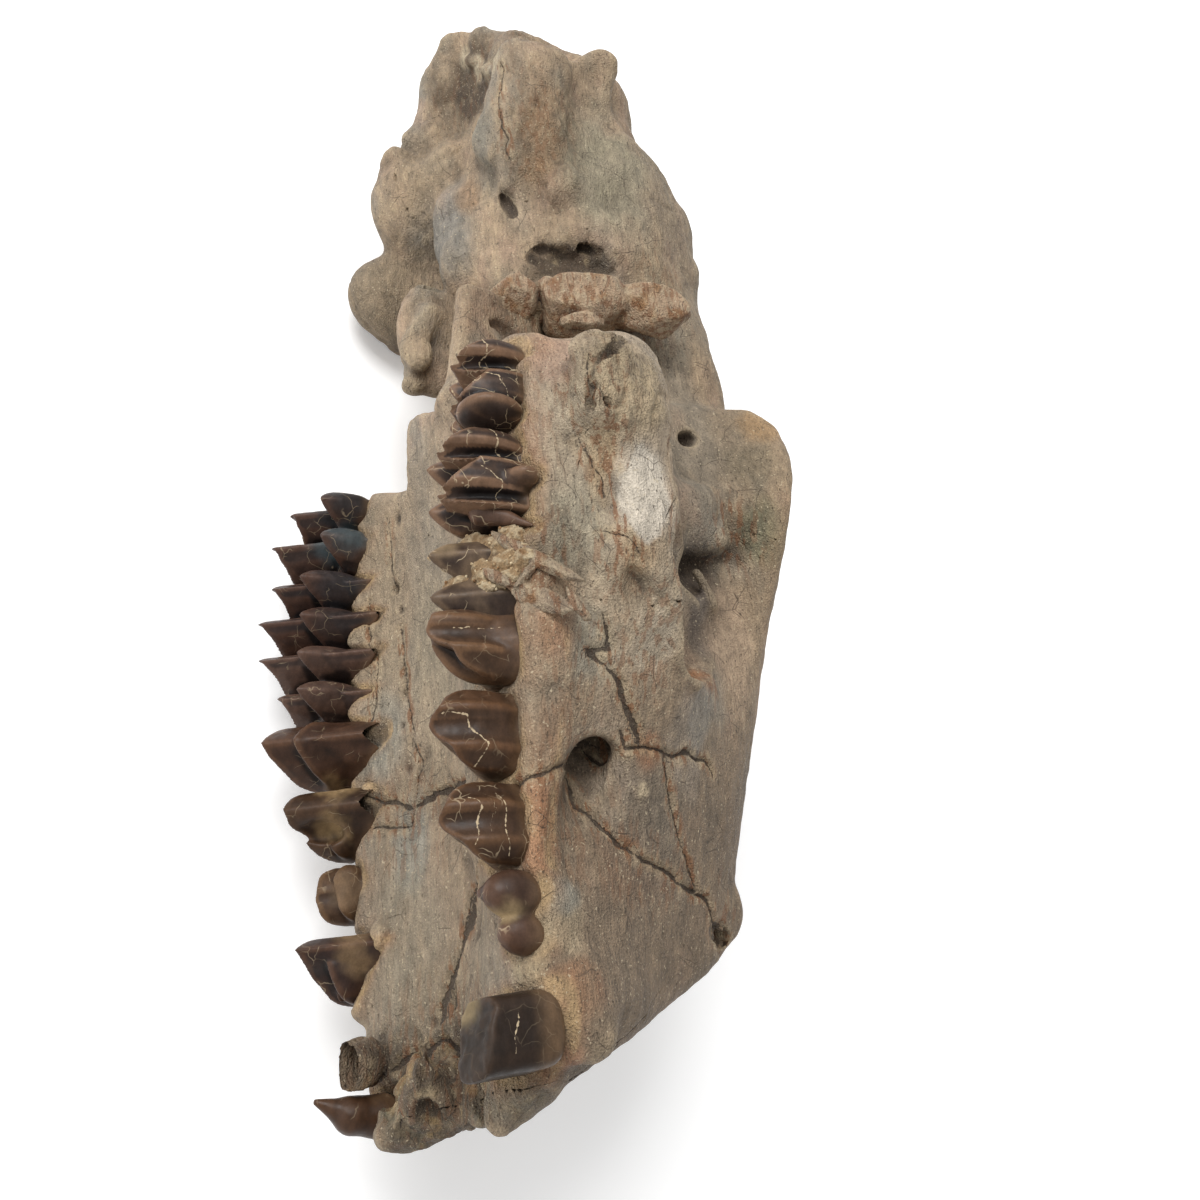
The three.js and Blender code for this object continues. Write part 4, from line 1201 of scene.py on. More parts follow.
def grain(tree, place, size, detail=3.0, low=0.3, high=0.7, to=(0.0, 1.0)):
    """Noise with features `size` mm across (by axis), stretched from low-high to the `to` range."""
    size = (size, size, size) if np.isscalar(size) else size
    moved = add_node(tree, "ShaderNodeMapping", {"Scale": tuple(1 / (s * MM) for s in size)}, Vector=place)
    noisy = add_node(tree, "ShaderNodeTexNoise", {"Scale": 1.0, "Detail": detail}, Vector=moved.outputs[0])
    return stretched(tree, noisy.outputs["Fac"], low, high, to)


def kept(tree, name, output="Fac"):
    """What the points keep under this name."""
    return add_node(tree, "ShaderNodeAttribute", {"attribute_name": name}).outputs[output]


def maths(tree, kind, a, b=0.0):
    """One Math node on two sockets or numbers."""
    return add_node(tree, "ShaderNodeMath", {"operation": kind}, n0=a, n1=b).outputs[0]


def times(tree, a, b):
    """a multiplied by b."""
    return maths(tree, "MULTIPLY", a, b)


def weighed(tree, *parts):
    """The sum of the parts, each (socket, weight)."""
    total = times(tree, *parts[0])
    for part in parts[1:]:
        total = maths(tree, "ADD", total, times(tree, *part))
    return total


def scaled(tree, vector, by):
    """A colour or vector multiplied by a number."""
    return add_node(tree, "ShaderNodeVectorMath", {"operation": "SCALE"}, n0=vector, Scale=by).outputs[0]


def covered(tree, colour, *coats):
    """The colour under coats, each (mask, strength, hex colour)."""
    for mask, much, over in coats:
        # a Mix node's colours are its inputs 6 and 7 and its output 2
        node = add_node(tree, "ShaderNodeMix", {"data_type": "RGBA"})
        tree.links.new(times(tree, mask, much), node.inputs[0])
        tree.links.new(colour, node.inputs[6])
        node.inputs[7].default_value = srgb(over)
        colour = node.outputs[2]
    return colour


def finish_shader(tree, shader, colour, height, strength, distance):
    """Gives a shader its colour and its bumps, `distance` metres high at most."""
    tree.links.new(colour, shader.inputs["Base Color"])
    bump = add_node(tree, "ShaderNodeBump", {"Strength": strength, "Distance": distance}, Height=height)
    tree.links.new(bump.outputs["Normal"], shader.inputs["Normal"])


def crack_line(tree, place, soft):
    """1 inside a crack, from the signed distance and half width kept on the points, with a ragged edge."""
    ragged = grain(tree, place, 0.5, 2.0, to=(-0.12, 0.12))
    half = maths(tree, "ADD", kept(tree, "crack_width"), ragged)
    inside = maths(tree, "SUBTRACT", half, maths(tree, "ABSOLUTE", kept(tree, "crack_side")))
    return stretched(tree, inside, 0.0, soft)


def cell_edges(tree, place, size, pull):
    """Distance to the edges between cells `size` mm across, pulled about by up to `pull` mm of noise."""
    slow = {"Scale": 1 / (size * 0.8 * MM), "Detail": 2.0}
    drift = add_node(tree, "ShaderNodeTexNoise", slow, Vector=place)
    drift = scaled(tree, drift.outputs["Color"], pull * MM)
    moved = add_node(tree, "ShaderNodeVectorMath", {"operation": "ADD"}, n0=place, n1=drift).outputs[0]
    return add_node(tree, "ShaderNodeTexVoronoi", {"feature": "DISTANCE_TO_EDGE", "Scale": 1 / (size * MM)},
                    Vector=moved).outputs["Distance"]


def bone_material():
    """Permineralised bone, cleaned with small tools: dull, with a fine fibrous grain along the skull.

    It has specks of pale mineral and dark cracks; its slight sheen shows only at a low angle.
    """
    material, tree, shader, place = new_material("permineralised_bone", 0.72, 1.5)
    fibres = grain(tree, place, (3.2, 0.35, 0.35), 4.0)
    fine = grain(tree, place, 0.32, 3.0)
    creased = grain(tree, place, (2.6, 1.1, 1.1), 7.0, 0.25, 0.75)
    mottle = grain(tree, place, (3.5, 1.8, 1.8), 5.0, to=(0.8, 1.18))
    shade = weighed(tree, (fibres, 0.28), (fine, 0.42), (creased, 0.34))
    shade = times(tree, maths(tree, "ADD", shade, 0.54), mottle)
    ochre = kept(tree, "ochre")
    veins = times(tree, grain(tree, place, (4.5, 1.1, 1.1), 7.0, 0.52, 0.58), ochre)
    crust = times(tree, grain(tree, place, (3.4, 1.6, 1.6), 7.0, 0.45, 0.38), ochre)
    flecks = grain(tree, place, 0.5, 2.0, 0.64, 0.71)
    pores = grain(tree, place, (0.9, 0.4, 0.4), 2.0, 0.35, 0.28)
    # hairline cracks between plates about 7 mm across, open only here and there
    hair = stretched(tree, cell_edges(tree, place, 7.0, 3.0), 0.012, 0.003)
    hair = times(tree, hair, grain(tree, place, 6.0, 2.0, 0.5, 0.58))
    crack = crack_line(tree, place, 0.14)
    colour = covered(
        tree, scaled(tree, kept(tree, "tone", "Color"), shade),
        (veins, 0.72, "#764a27"), (crust, 0.45, "#b5a284"), (flecks, 0.6, "#c3b396"),
        (pores, 0.7, "#453829"), (hair, 0.55, "#43362a"), (crack, 0.85, "#3a2e23"))
    height = weighed(tree, (fibres, 0.6), (creased, 1.6), (fine, 1.0))
    height = times(tree, height, maths(tree, "ADD", times(tree, kept(tree, "rough"), 1.2), 1.0))
    height = weighed(tree, (height, 1.0), (crack, -2.0), (pores, -0.8), (hair, -0.6))
    finish_shader(tree, shader, colour, height, 0.9, 0.00025)
    return material


def enamel_material():
    """Mineral-stained enamel over dentine: a hard, smooth, glossy skin, dark brown to black.

    It is crazed with pale mineral-filled cracks.
    """
    material, tree, shader, place = new_material("stained_enamel", 0.3, 1.55)
    shader.inputs["Specular IOR Level"].default_value = 0.16
    bands = grain(tree, place, (1.8, 1.1, 1.8), 5.0, to=(0.8, 1.22))
    fine = grain(tree, place, 0.3, 2.0, to=(0.9, 1.1))
    # mineral-filled cells about 3 mm across, their edges pulled about by a slower noise
    line = stretched(tree, cell_edges(tree, place, 3.4, 2.4), 0.02, 0.006)
    line = times(tree, times(tree, line, grain(tree, place, 4.0, 1.0, 0.52, 0.6)), kept(tree, "craze"))
    line = maths(tree, "MAXIMUM", line, crack_line(tree, place, 0.08))
    colour = covered(tree, scaled(tree, kept(tree, "tone", "Color"), times(tree, bands, fine)),
                     (line, 0.85, "#b9a688"))
    dull = times(tree, maths(tree, "MAXIMUM", line, kept(tree, "worn")), 0.4)
    dull = maths(tree, "ADD", dull, grain(tree, place, 1.2, 4.0, to=(0.3, 0.52)))
    tree.links.new(dull, shader.inputs["Roughness"])
    height = weighed(tree, (bands, 0.6), (line, 0.5), (fine, 0.8))
    finish_shader(tree, shader, colour, height, 0.35, 0.00012)
    return material


def matrix_material():
    """Fine sandstone left in the broken places, dry and crumbly, cream with ochre and brown grains."""
    material, tree, shader, place = new_material("sandstone_matrix", 0.9, 1.5)
    sand = grain(tree, place, 0.35, 4.0, to=(0.72, 1.25))
    dark = grain(tree, place, 0.6, 2.0, 0.36, 0.28)
    colour = covered(tree, scaled(tree, kept(tree, "tone", "Color"), sand), (dark, 0.7, "#4b3826"))
    finish_shader(tree, shader, colour, sand, 0.9, 0.0003)
    return material


def material_for(slot):
    """The slot's material, made once."""
    names = {"bone": "permineralised_bone", "enamel": "stained_enamel", "matrix": "sandstone_matrix"}
    makers = {"bone": bone_material, "enamel": enamel_material, "matrix": matrix_material}
    return bpy.data.materials.get(names[slot]) or makers[slot]()


def finish_piece(thing, slot, node=None):
    """Gives a piece the material of its slot and its place in the frame."""
    thing.data.materials.append(material_for(slot))
    if node:
        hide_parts(node)
    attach(thing, "root")


# ---- bones
SAMPLES = {}
COARSE = 4  # a bone is first looked for at every fourth sample
CRUMB = 0.004  # loose parts with a smaller share of a bone's points than this are left out


def bone_samples(step):
    """The skull's field on a grid, sampled once for all the bones."""
    if step not in SAMPLES:
        value = sampled(skull, LOW, HIGH, step, 3.2 * BLOCK * step)
        SAMPLES[step] = value, [LOW[k] + np.arange(value.shape[k]) * step for k in range(3)]
    return SAMPLES[step]


def on_grid(field, axes):
    """The field at every point of a grid."""
    return field(axes[0][:, None, None], axes[1][None, :, None], axes[2][None, None, :])


def build_bone(name, look):
    """One bone: its part of the skull, settled on the true surface, with relief, colour and cracks."""
    step = look.bone_step * 1
    value, axes = bone_samples(step)
    region = parted()[name]
    rough = np.maximum(value[::COARSE, ::COARSE, ::COARSE], on_grid(region, [a[::COARSE] for a in axes]))
    hit = np.nonzero(rough < 1.0)
    keep = [slice(max(h.min() * COARSE - 8, 0), h.max() * COARSE + 9) for h in hit]
    axes = [axes[k][keep[k]] for k in range(3)]
    gap = look.suture
    area = np.maximum(value[tuple(keep)], on_grid(region, axes) + gap)
    points, quads = meshed(area, np.array([a[0] for a in axes]), step)
    points, quads = large_parts(points, quads, CRUMB)
    outer = np.abs(skull(*points.T)) < 0.6 * step
    edge = outer & (np.abs(region(*points.T) + gap) < 0.75 * step)
    for _ in range(2):
        points[edge] = settle(lambda x, y, z: region(x, y, z) + gap, points[edge], 1)
        points[outer] = settle(skull, points[outer], 1)
    points, tones, masks = dressed_bone(points, outer, look)
    thing = mesh_object("bone_" + name, points, quads, tones, masks)
    finish_piece(thing, "bone", name)


# ---- tooth colours: body, hollows and ridges, with how crazed each is, then patches and cracks; the hollow and ridge tones also vary at random, and give painted shade in the hollows and a painted highlight on the ridges
BROWN = ("#584130", "#2a201a", "#7f5f45", 0.25)
DARK = ("#40332d", "#191413", "#8c6c54", 0.8)
LEFT = ("#3b2f2c", "#1f1a19", "#614639", 0.3)
TOOTH_TONES = {
    ("right", "m3"): DARK, ("right", "m2"): DARK,
    ("right", "m1"): ("#3d3029", "#1a1411", "#75604c", 0.8), ("right", "p4"): BROWN,
    ("right", "p3"): ("#4a3628", "#241a15", "#705038", 0.25),
    ("right", "p2"): ("#473325", "#251b15", "#6e5038", 0.5),
    ("right", "p1"): ("#443229", "#231b17", "#694c3a", 0.5),
    ("right", "c"): ("#33271f", "#1f1814", "#4a382b", 0.1),
    ("right", "m2_spur"): ("#4a362b", "#241b18", "#6d5140", 0.6),
    ("left", "m3"): ("#40322d", "#1d1817", "#63483b", 0.4),
    ("left", "m1"): ("#4b3c36", "#2a211e", "#6d5346", 0.4),
    ("left", "p4"): ("#483226", "#261b15", "#664936", 0.3),
    ("left", "p3"): ("#38281d", "#201711", "#5a4230", 0.3),
    ("left", "p2"): ("#4d3a2d", "#261c16", "#75593f", 0.3),
    ("left", "p1"): ("#372823", "#1d1613", "#5b4132", 0.4),
    ("left", "c"): ("#422d1f", "#241912", "#5c4230", 0.2),
}
# patches of colour on the teeth: middle, radii, colour, strength and how worn (dull) they are
TOOTH_PATCHES = [
    ((28, 33, -3), (4, 5, 6), "#3c4347", 0.4, 0.0), ((21, 33, -3), (4, 5, 6), "#3a4044", 0.4, 0.0),
    ((13.5, 22, -2), (3.6, 6, 6), "#4f5c60", 0.8, 0.2), ((5.5, 22, -2), (4, 6, 6), "#2d3033", 0.7, 0.1),
    ((22, 23, -2), (4, 4, 6), "#33363a", 0.6, 0.1), ((30, 24, -2), (4, 5, 6), "#3a3433", 0.5, 0.1),
    ((64, 24, -3), (5, 4.0, 4), "#a88b63", 0.85, 1.0),
    ((78.5, 22, -3), (3, 2.6, 3), "#8a7258", 0.5, 0.8), ((88, 22, -2), (4, 4, 3), "#94795a", 0.8, 1.0),
    ((92, -21, -2), (2.6, 3, 2.4), "#b59c74", 0.9, 1.0),
    ((103.5, -16, -5), (3, 4, 4), "#a08d6c", 0.8, 1.0),
    ((108, -20, -8), (7, 6, 2.0), "#3a312a", 0.6, 0.6),
    ((44, -23, -3.5), (6, 2.6, 3), "#8d765e", 0.5, 0.8),
    ((109, 19, -1), (5, 4, 2.0), "#6d5338", 0.5, 0.7), ((39, -19, -8), (3, 4, 3), "#a58c6a", 0.5, 0.6),
]
TOOTH_CRACKS = {
    ("right", "p3"): [(0.12, 0.12, [(65.8, -9.8), (66, -6.8), (70.5, -4.8), (75, -5.8)])],
    ("right", "p2"): [(0.11, 0.11, [(78, -7), (79, -5.9), (84, -6.9)]),
                      (0.1, 0.1, [(77, -2.8), (81.6, -2.5), (85.8, -2.1)])],
    ("right", "c"): [(0.1, 0.1, [(105.3, -2.7), (110.8, -3.3)])],
    ("right", "p4"): [(0.1, 0.07, [(53.1, -8.6), (53, -6.2)]), (0.1, 0.06, [(53, -5.2), (52.8, -2.1)])],
    ("right", "m3"): [(0.1, 0.1, [(4, -6), (9, -4.6), (10.6, -0.5)]),
                      (0.1, 0.08, [(11.5, -8), (12.6, -3), (17, -2)])],
    ("right", "m2"): [(0.1, 0.1, [(21, -5), (25, -3.5), (27.6, 0)]),
                      (0.1, 0.1, [(29, -7), (32, -4), (35, -3.6)])],
}


def fine_mesh(field, low, high, look):
    """Points and quads of a small piece, drawn as finely as the teeth."""
    step = look.tooth_step * 1
    low, high = np.array(low, float), np.array(high, float)
    return large_parts(*meshed(sampled(field, low, high, step, 9), low, step))


def build_tooth(side, name, field, low, high, look):
    """One tooth, with its own colour: painted shade darkens its hollows and a warm painted highlight lights
    its ridges.
    """
    points, quads = fine_mesh(field, low, high, look)
    fine, broad = shape_of(field, points, 0.6), shape_of(field, points, 1.5)
    n = normals(field, points, 0.3)
    x, z = points[:, 0], points[:, 2]
    outside = n[:, 1] * (1 if side == "left" else -1) > 0.0
    s, w = crack_marks(points, x, z, outside, TOOTH_CRACKS.get((side, name), []), 70)
    lift = 0.09 * layers(points, (3.2, 2.4, 2.4), 71) + 0.03 * noise(points, 0.9, 72)
    points = points + n * lift[:, None]
    body_tone, dark, ridge, craze = TOOTH_TONES.get((side, name), LEFT)
    tone = even_tone(len(points), srgb(body_tone))
    drift = layers(points, (4, 2.5, 4), 73)
    blend(tone, 0.35 * smooth(0.0, 0.6, drift), ridge)
    blend(tone, 0.35 * smooth(0.0, 0.6, -drift), dark)
    # painted highlight: lighter on the ridges
    blend(tone, 0.8 * smooth(0.1, 1.0, fine), ridge)
    # painted shade: darker in the hollows
    blend(tone, 0.95 * smooth(0.05, 0.8, -broad), dark)
    worn = np.zeros(len(points))
    wobble = layers(points, 2.2, 74)
    for centre, radii, colour, much, dull in TOOTH_PATCHES:
        mask = zone(points, centre, radii, wobble)
        blend(tone, much * mask, colour)
        worn = np.maximum(worn, dull * mask)
    blend(tone, 0.5 * smooth(-1.5, 2.0, z), "#8a6e52")
    tone = tone * look.tooth_shade * np.array(look.tooth_tint)
    masks = {"crack_side": s, "crack_width": w, "craze": np.full(len(points), craze), "worn": worn}
    finish_piece(mesh_object("tooth_%s_%s" % (side, name), points, quads, tone, masks, 60), "enamel")


def build_row(side, look):
    """The teeth of one side, from the last molar forward."""
    for name, (field, low, high) in TEETH[side]:
        build_tooth(side, name, field, low, high, look)


# ---- matrix and splinters where the right first molar has broken away
def crumbled(shape, amount, seed):
    """A shape with a crumbly surface."""
    def field(x, y, z):
        x, y, z = np.broadcast_arrays(x, y, z)
        p = np.stack([x.ravel(), y.ravel(), z.ravel()], 1)
        rough = (layers(p, 2.6, seed) + 0.4 * noise(p, 0.9, seed + 5)).reshape(x.shape)
        return shape(x, y, z) + amount * rough
    return field


def stone(c, axes, r, seed, faces=12):
    """An angular stone: an ellipsoid of radii r along the given axes, trimmed by flat faces."""
    k = np.arange(faces)
    up = np.linspace(-0.92, 0.92, faces)
    turn = 2.4 * k + 1.3 * scatter(k, k, 0 * k, seed)
    n = np.stack([np.cos(turn) * np.sqrt(1 - up ** 2), np.sin(turn) * np.sqrt(1 - up ** 2), up], 1)
    h = 0.66 + 0.28 * scatter(k, 0 * k, k, seed + 1)
    axes = np.array(axes, float)

    def field(x, y, z):
        d = (x - c[0], y - c[1], z - c[2])
        q = [sum(d[j] * axes[i, j] for j in range(3)) / r[i] for i in range(3)]
        out = np.sqrt(q[0] ** 2 + q[1] ** 2 + q[2] ** 2) - 1
        for i in range(faces):
            out = soft_max(out, n[i, 0] * q[0] + n[i, 1] * q[1] + n[i, 2] * q[2] - h[i], 0.05)
        return out * min(r)
    return field


def frame_of(ahead, up):
    """Three square axes, the first along `ahead` and the last near `up`."""
    a, c = unit(np.array(ahead, float)), np.array(up, float)
    c = unit(c - a * (a @ c))
    return [a, np.cross(c, a), c]


def shard(a, b, wide, thick, seed):
    """A flat splinter of bone lying from a to b against the cheek."""
    a, b = np.array(a, float), np.array(b, float)
    half = (0.62 * np.linalg.norm(b - a), 1.25 * wide, 1.25 * thick)
    return stone((a + b) / 2, frame_of(b - a, OUTWARD), half, seed, 10)


OUTWARD = (0.25, -0.75, -0.6)  # away from the sockets on the right side
ROW = frame_of((0.1, -0.6, 0.79), (0.66, -0.57, -0.5))  # along the stones caught behind the cheek
rubble = [stone((41.8, -25, -1.2), frame_of((0.2, -1, 0.4), OUTWARD), (8.4, 5.4, 2.6), 91, 14)]
for k in range(22):
    a, b, c, d = [float(scatter(np.array(k), np.array(j), np.array(3), 90)) for j in range(4)]
    w = 18.8 + 0.58 * k
    spot = (37.6 + 9.0 * a, -w, -7.0 + 0.52 * (w - 18.5) + 0.5 * c)
    rubble.append(stone(spot, frame_of((1.6 * b - 0.8, -1, 0.6 * d), (0.6 * c, -0.75, -0.9)),
                        (1.8 + 1.6 * d, 1.0 + 0.8 * c, 0.7 + 0.4 * a), 100 + k, 8))
rubble = crumbled(join(0.08, *rubble), 0.12, 80)
splinters = crumbled(join(
    0.05,
    shard((38.6, -27.0, -2.8), (49.4, -37.0, 3.6), 1.0, 0.8, 31),
    shard((47.4, -28.0, -1.6), (53.2, -34.8, 2.8), 1.5, 0.8, 36),
    shard((36.0, -27.4, -2.6), (41.4, -35.2, 1.6), 0.6, 0.7, 47),
    shard((43.4, -24.4, -4.4), (47.4, -29.0, -2.0), 0.8, 0.8, 52),
    shard((50.4, -35.4, 2.8), (55.2, -36.4, 5.4), 0.7, 0.6, 58),
    shard((44.6, -32.6, 0.4), (48.0, -29.4, -1.6), 0.6, 0.7, 61)), 0.05, 83)
chip = stone((41.0, -22.2, -4.6), frame_of((0.5, -1, 0.4), OUTWARD), (2.2, 1.1, 0.9), 64, 10)
chip = crumbled(chip, 0.08, 86)
fragments = crumbled(join(
    0.1,
    stone((-26.0, -12.8, 15.4), frame_of((0.5, -0.4, 0.79), (0.66, -0.57, -0.5)), (4.8, 6.0, 4.6), 11, 11),
    stone((-24.2, -19.6, 26.2), frame_of((0.0, -0.66, 0.75), (0.8, -0.5, -0.3)), (9.6, 6.8, 6.2), 23, 10),
    stone((-22.6, -26.2, 37.0), frame_of((0.3, -0.6, 0.75), (0.5, -0.57, -0.7)), (8.2, 5.6, 4.6), 35, 10),
    stone((-27.8, -23.6, 37.6), ROW, (4.2, 3.0, 3.4), 41, 9),
    stone((-18.8, -21.2, 24.6), ROW, (4.6, 1.8, 2.4), 43, 9),
    stone((-29.6, -15.8, 21.6), ROW, (2.4, 2.4, 3.8), 44, 9)), 0.2, 84)


# the hollows tone is painted shade, and the edges tone, besides random specks, is a painted highlight on
# bumps
RUBBLE_TONES = {  # body, second tone, hollows and edges
    "matrix_at_first_molar": ("#957a58", "#7d5c39", "#2b2018", "#cfbf9f"),
    "root_splinters": ("#94806a", "#86613f", "#3d2f24", "#bba88c"),
    "enamel_chip": ("#6a7175", "#b3ad9f", "#3a3029", "#c9c5ba"),
    "fragments_behind_cheek": ("#b69a7d", "#a07a54", "#4a3727", "#cbb697"),
}


RUBBLE_MASKS = {
    "crack_side": FAR, "crack_width": CLOSED, "rough": 0.4, "ochre": 0.8, "craze": 0.4, "worn": 0.3}


def build_rubble(name, field, low, high, slot, look):
    """A crumbly piece of matrix, bone or enamel."""
    points, quads = fine_mesh(field, low, high, look)
    fine, broad = shape_of(field, points, 0.5), shape_of(field, points, 1.6)
    first, second, dark, pale = RUBBLE_TONES[name]
    tone = even_tone(len(points), srgb(first))
    blend(tone, smooth(0.0, 0.5, layers(points, 2.4, 88)), second)
    blend(tone, 0.6 * smooth(0.1, 0.5, layers(points, 1.2, 89)), pale)
    # painted highlight: paler on bumps
    blend(tone, 0.5 * smooth(0.3, 2.0, fine), pale)
    # painted shade: darker in the hollows
    blend(tone, 0.9 * smooth(0.15, 1.0, -broad), dark)
    tone *= look.bone_shade
    masks = {key: np.full(len(points), value) for key, value in RUBBLE_MASKS.items()}
    thing = mesh_object(name, points, quads, tone, masks)
    finish_piece(thing, slot)
    return thing


def scatter_tree(material):
    """A node tree that scatters sand grains over a surface."""
    tree = bpy.data.node_groups.new("sand_grains", "GeometryNodeTree")
    tree.interface.new_socket("Surface", in_out="INPUT", socket_type="NodeSocketGeometry")
    for name, kind, value in (("Spacing", "Float", 0.0009), ("Grain size", "Float", 0.00042),
                              ("Per square metre", "Float", 900000.0), ("Seed", "Int", 4)):
        socket = tree.interface.new_socket(name, in_out="INPUT", socket_type="NodeSocket" + kind)
        socket.default_value = value
    tree.interface.new_socket("Grains", in_out="OUTPUT", socket_type="NodeSocketGeometry")
    given = add_node(tree, "NodeGroupInput").outputs
    spots = add_node(tree, "GeometryNodeDistributePointsOnFaces", {"distribute_method": "POISSON"},
                     Mesh=given["Surface"], Distance_Min=given["Spacing"],
                     Density_Max=given["Per square metre"], Seed=given["Seed"])
    pebble = add_node(tree, "GeometryNodeMeshIcoSphere", {"Radius": 1.0, "Subdivisions": 1})
    size = add_node(tree, "FunctionNodeRandomValue", {"data_type": "FLOAT"},
                    n2=0.3, n3=1.0, Seed=given["Seed"])
    turn = add_node(tree, "FunctionNodeRandomValue", {"data_type": "FLOAT_VECTOR"},
                    n1=(6.3, 6.3, 6.3), Seed=given["Seed"])  # up to a whole turn about each axis
    grains = add_node(tree, "GeometryNodeInstanceOnPoints", Points=spots.outputs["Points"],
                      Instance=pebble.outputs["Mesh"], Rotation=turn.outputs[0],
                      Scale=times(tree, size.outputs[1], given["Grain size"]))
    solid = add_node(tree, "GeometryNodeRealizeInstances", Geometry=grains.outputs[0])
    done = add_node(tree, "GeometryNodeSetMaterial", {"Material": material}, Geometry=solid.outputs[0])
    add_node(tree, "NodeGroupOutput", Grains=done.outputs[0])
    return tree


def build_grains(surface, look):
    """Loose sand grains on the matrix, made with Geometry Nodes and turned into one plain mesh."""
    carrier = new_object("grain_carrier", surface.data)
    modifier = carrier.modifiers.new("grains", "NODES")
    modifier.node_group = scatter_tree(material_for("matrix"))
    sizes = {"Grain size": look.grain_size, "Spacing": look.grain_size * 2.1}
    for item in modifier.node_group.interface.items_tree:
        if item.item_type == "SOCKET" and item.in_out == "INPUT" and item.name in sizes:
            modifier[item.identifier] = sizes[item.name]
    ready = carrier.evaluated_get(bpy.context.evaluated_depsgraph_get())
    mesh = bpy.data.meshes.new_from_object(ready)
    bpy.data.objects.remove(carrier)
    mesh.name = "sand_grains"
    spots = np.empty(len(mesh.vertices) * 3, np.float32)
    mesh.vertices.foreach_get("co", spots)
    spots = spots.reshape(-1, 3) / MM
    tone = even_tone(len(spots), look.sand_colour)
    pick = scatter(*np.floor(spots / 1.2).astype(np.int64).T, 9)
    blend(tone, (pick > 0.6) * 1.0, "#7d5c3a")
    blend(tone, (pick > 0.85) * 1.0, "#c9b898")
    lay_tones(mesh, tone)
    thing = new_object("sand_grains", mesh)
    if not mesh.materials:
        mesh.materials.append(material_for("matrix"))
    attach(thing, "root")


# ---- what a user may change
def number(name, text, value, low, high, **more):
    """A number that a user may change."""
    return bpy.props.FloatProperty(name=name, description=text, default=value, min=low, max=high, **more)


def tint(name, text, colour):
    """A colour that a user may change, from its sRGB hex value."""
    return bpy.props.FloatVectorProperty(name=name, description=text, subtype="COLOR", size=3, min=0, max=1,
                                         default=srgb(colour)[:3])


class SkullLook(bpy.types.PropertyGroup):
    bone_step: number("Bone detail", "Spacing of the points that draw the bone, in mm", 0.51, 0.35, 2.0)
    tooth_step: number("Tooth detail", "Spacing of the points that draw the teeth, in mm", 0.3, 0.2, 1.0)
    bone_colour: tint("Bone", "Colour of the bone between its stains", "#a08c75")
    tooth_tint: tint("Tooth tint", "Colour the stained teeth are multiplied by", "#ffffff")
    sand_colour: tint("Sand", "Colour of the loose sand grains", "#a8906e")
    suture: number("Suture gap", "Half the hairline gap between neighbouring bones, in mm", 0.012, 0.0, 0.2)
    bone_shade: number("Bone shade", "How light the bone is", 0.74, 0.1, 2.0, subtype="FACTOR")
    tooth_shade: number("Tooth shade", "How light the teeth are", 0.62, 0.1, 2.0, subtype="FACTOR")
    relief: number("Relief", "Strength of the bone's uneven surface", 1.0, 0.0, 3.0, subtype="FACTOR")
    grain_size: number("Grain size", "Radius of the largest sand grains in the matrix",
                       0.00034, 0.0001, 0.001, subtype="DISTANCE", unit="LENGTH", precision=5)


class SkullStage(bpy.types.PropertyGroup):
    floor_colour: tint("Floor", "Colour of the paper floor", "#f7f7f7")
    glow: number("Floor glow", "How strongly the floor is lit from behind", 0.2, 0.0, 2.0)
    sky: number("Room light", "Strength of the even light from all round", 0.62, 0.0, 5.0)
    key: number("Main lamp", "Power of the large lamp over the palate and the back of the skull",
                15.0, 0.0, 100.0, unit="POWER")
    fill: number("Side lamp", "Power of the weak lamp that faces the palate", 3.0, 0.0, 100.0, unit="POWER")
    lens: number("Lens", "Focal length of the camera, in mm on a 36 mm sensor", 36.51, 10.0, 200.0)


# ---- one operator for each group of pieces
BRAINCASE = ("occipital", "parietal", "sphenoid", "squamosal_left", "squamosal_right")
FACE = ("frontal_left", "frontal_right", "nasal_left", "nasal_right", "maxilla_left", "maxilla_right",
        "premaxilla_left", "premaxilla_right", "palatine_left", "palatine_right", "jugal_right")


class SKULL_OT_braincase(bpy.types.Operator):
    """Builds the bones of the braincase and the back of the skull"""
    bl_idname = "skull.braincase"
    bl_label = "Braincase"

    def execute(self, context):
        for name in BRAINCASE:
            build_bone(name, context.scene.skull_look)
        return {"FINISHED"}


class SKULL_OT_face(bpy.types.Operator):
    """Builds the bones of the face, the palate and the roof of the skull"""
    bl_idname = "skull.face"
    bl_label = "Face"

    def execute(self, context):
        for name in FACE:
            build_bone(name, context.scene.skull_look)
        return {"FINISHED"}


class SKULL_OT_teeth_right(bpy.types.Operator):
    """Builds the right row of teeth and the broken right canine"""
    bl_idname = "skull.teeth_right"
    bl_label = "Right teeth"

    def execute(self, context):
        build_row("right", context.scene.skull_look)
        return {"FINISHED"}


class SKULL_OT_teeth_left(bpy.types.Operator):
    """Builds the left row of teeth and the left canine"""
    bl_idname = "skull.teeth_left"
    bl_label = "Left teeth"

    def execute(self, context):
        build_row("left", context.scene.skull_look)
        return {"FINISHED"}


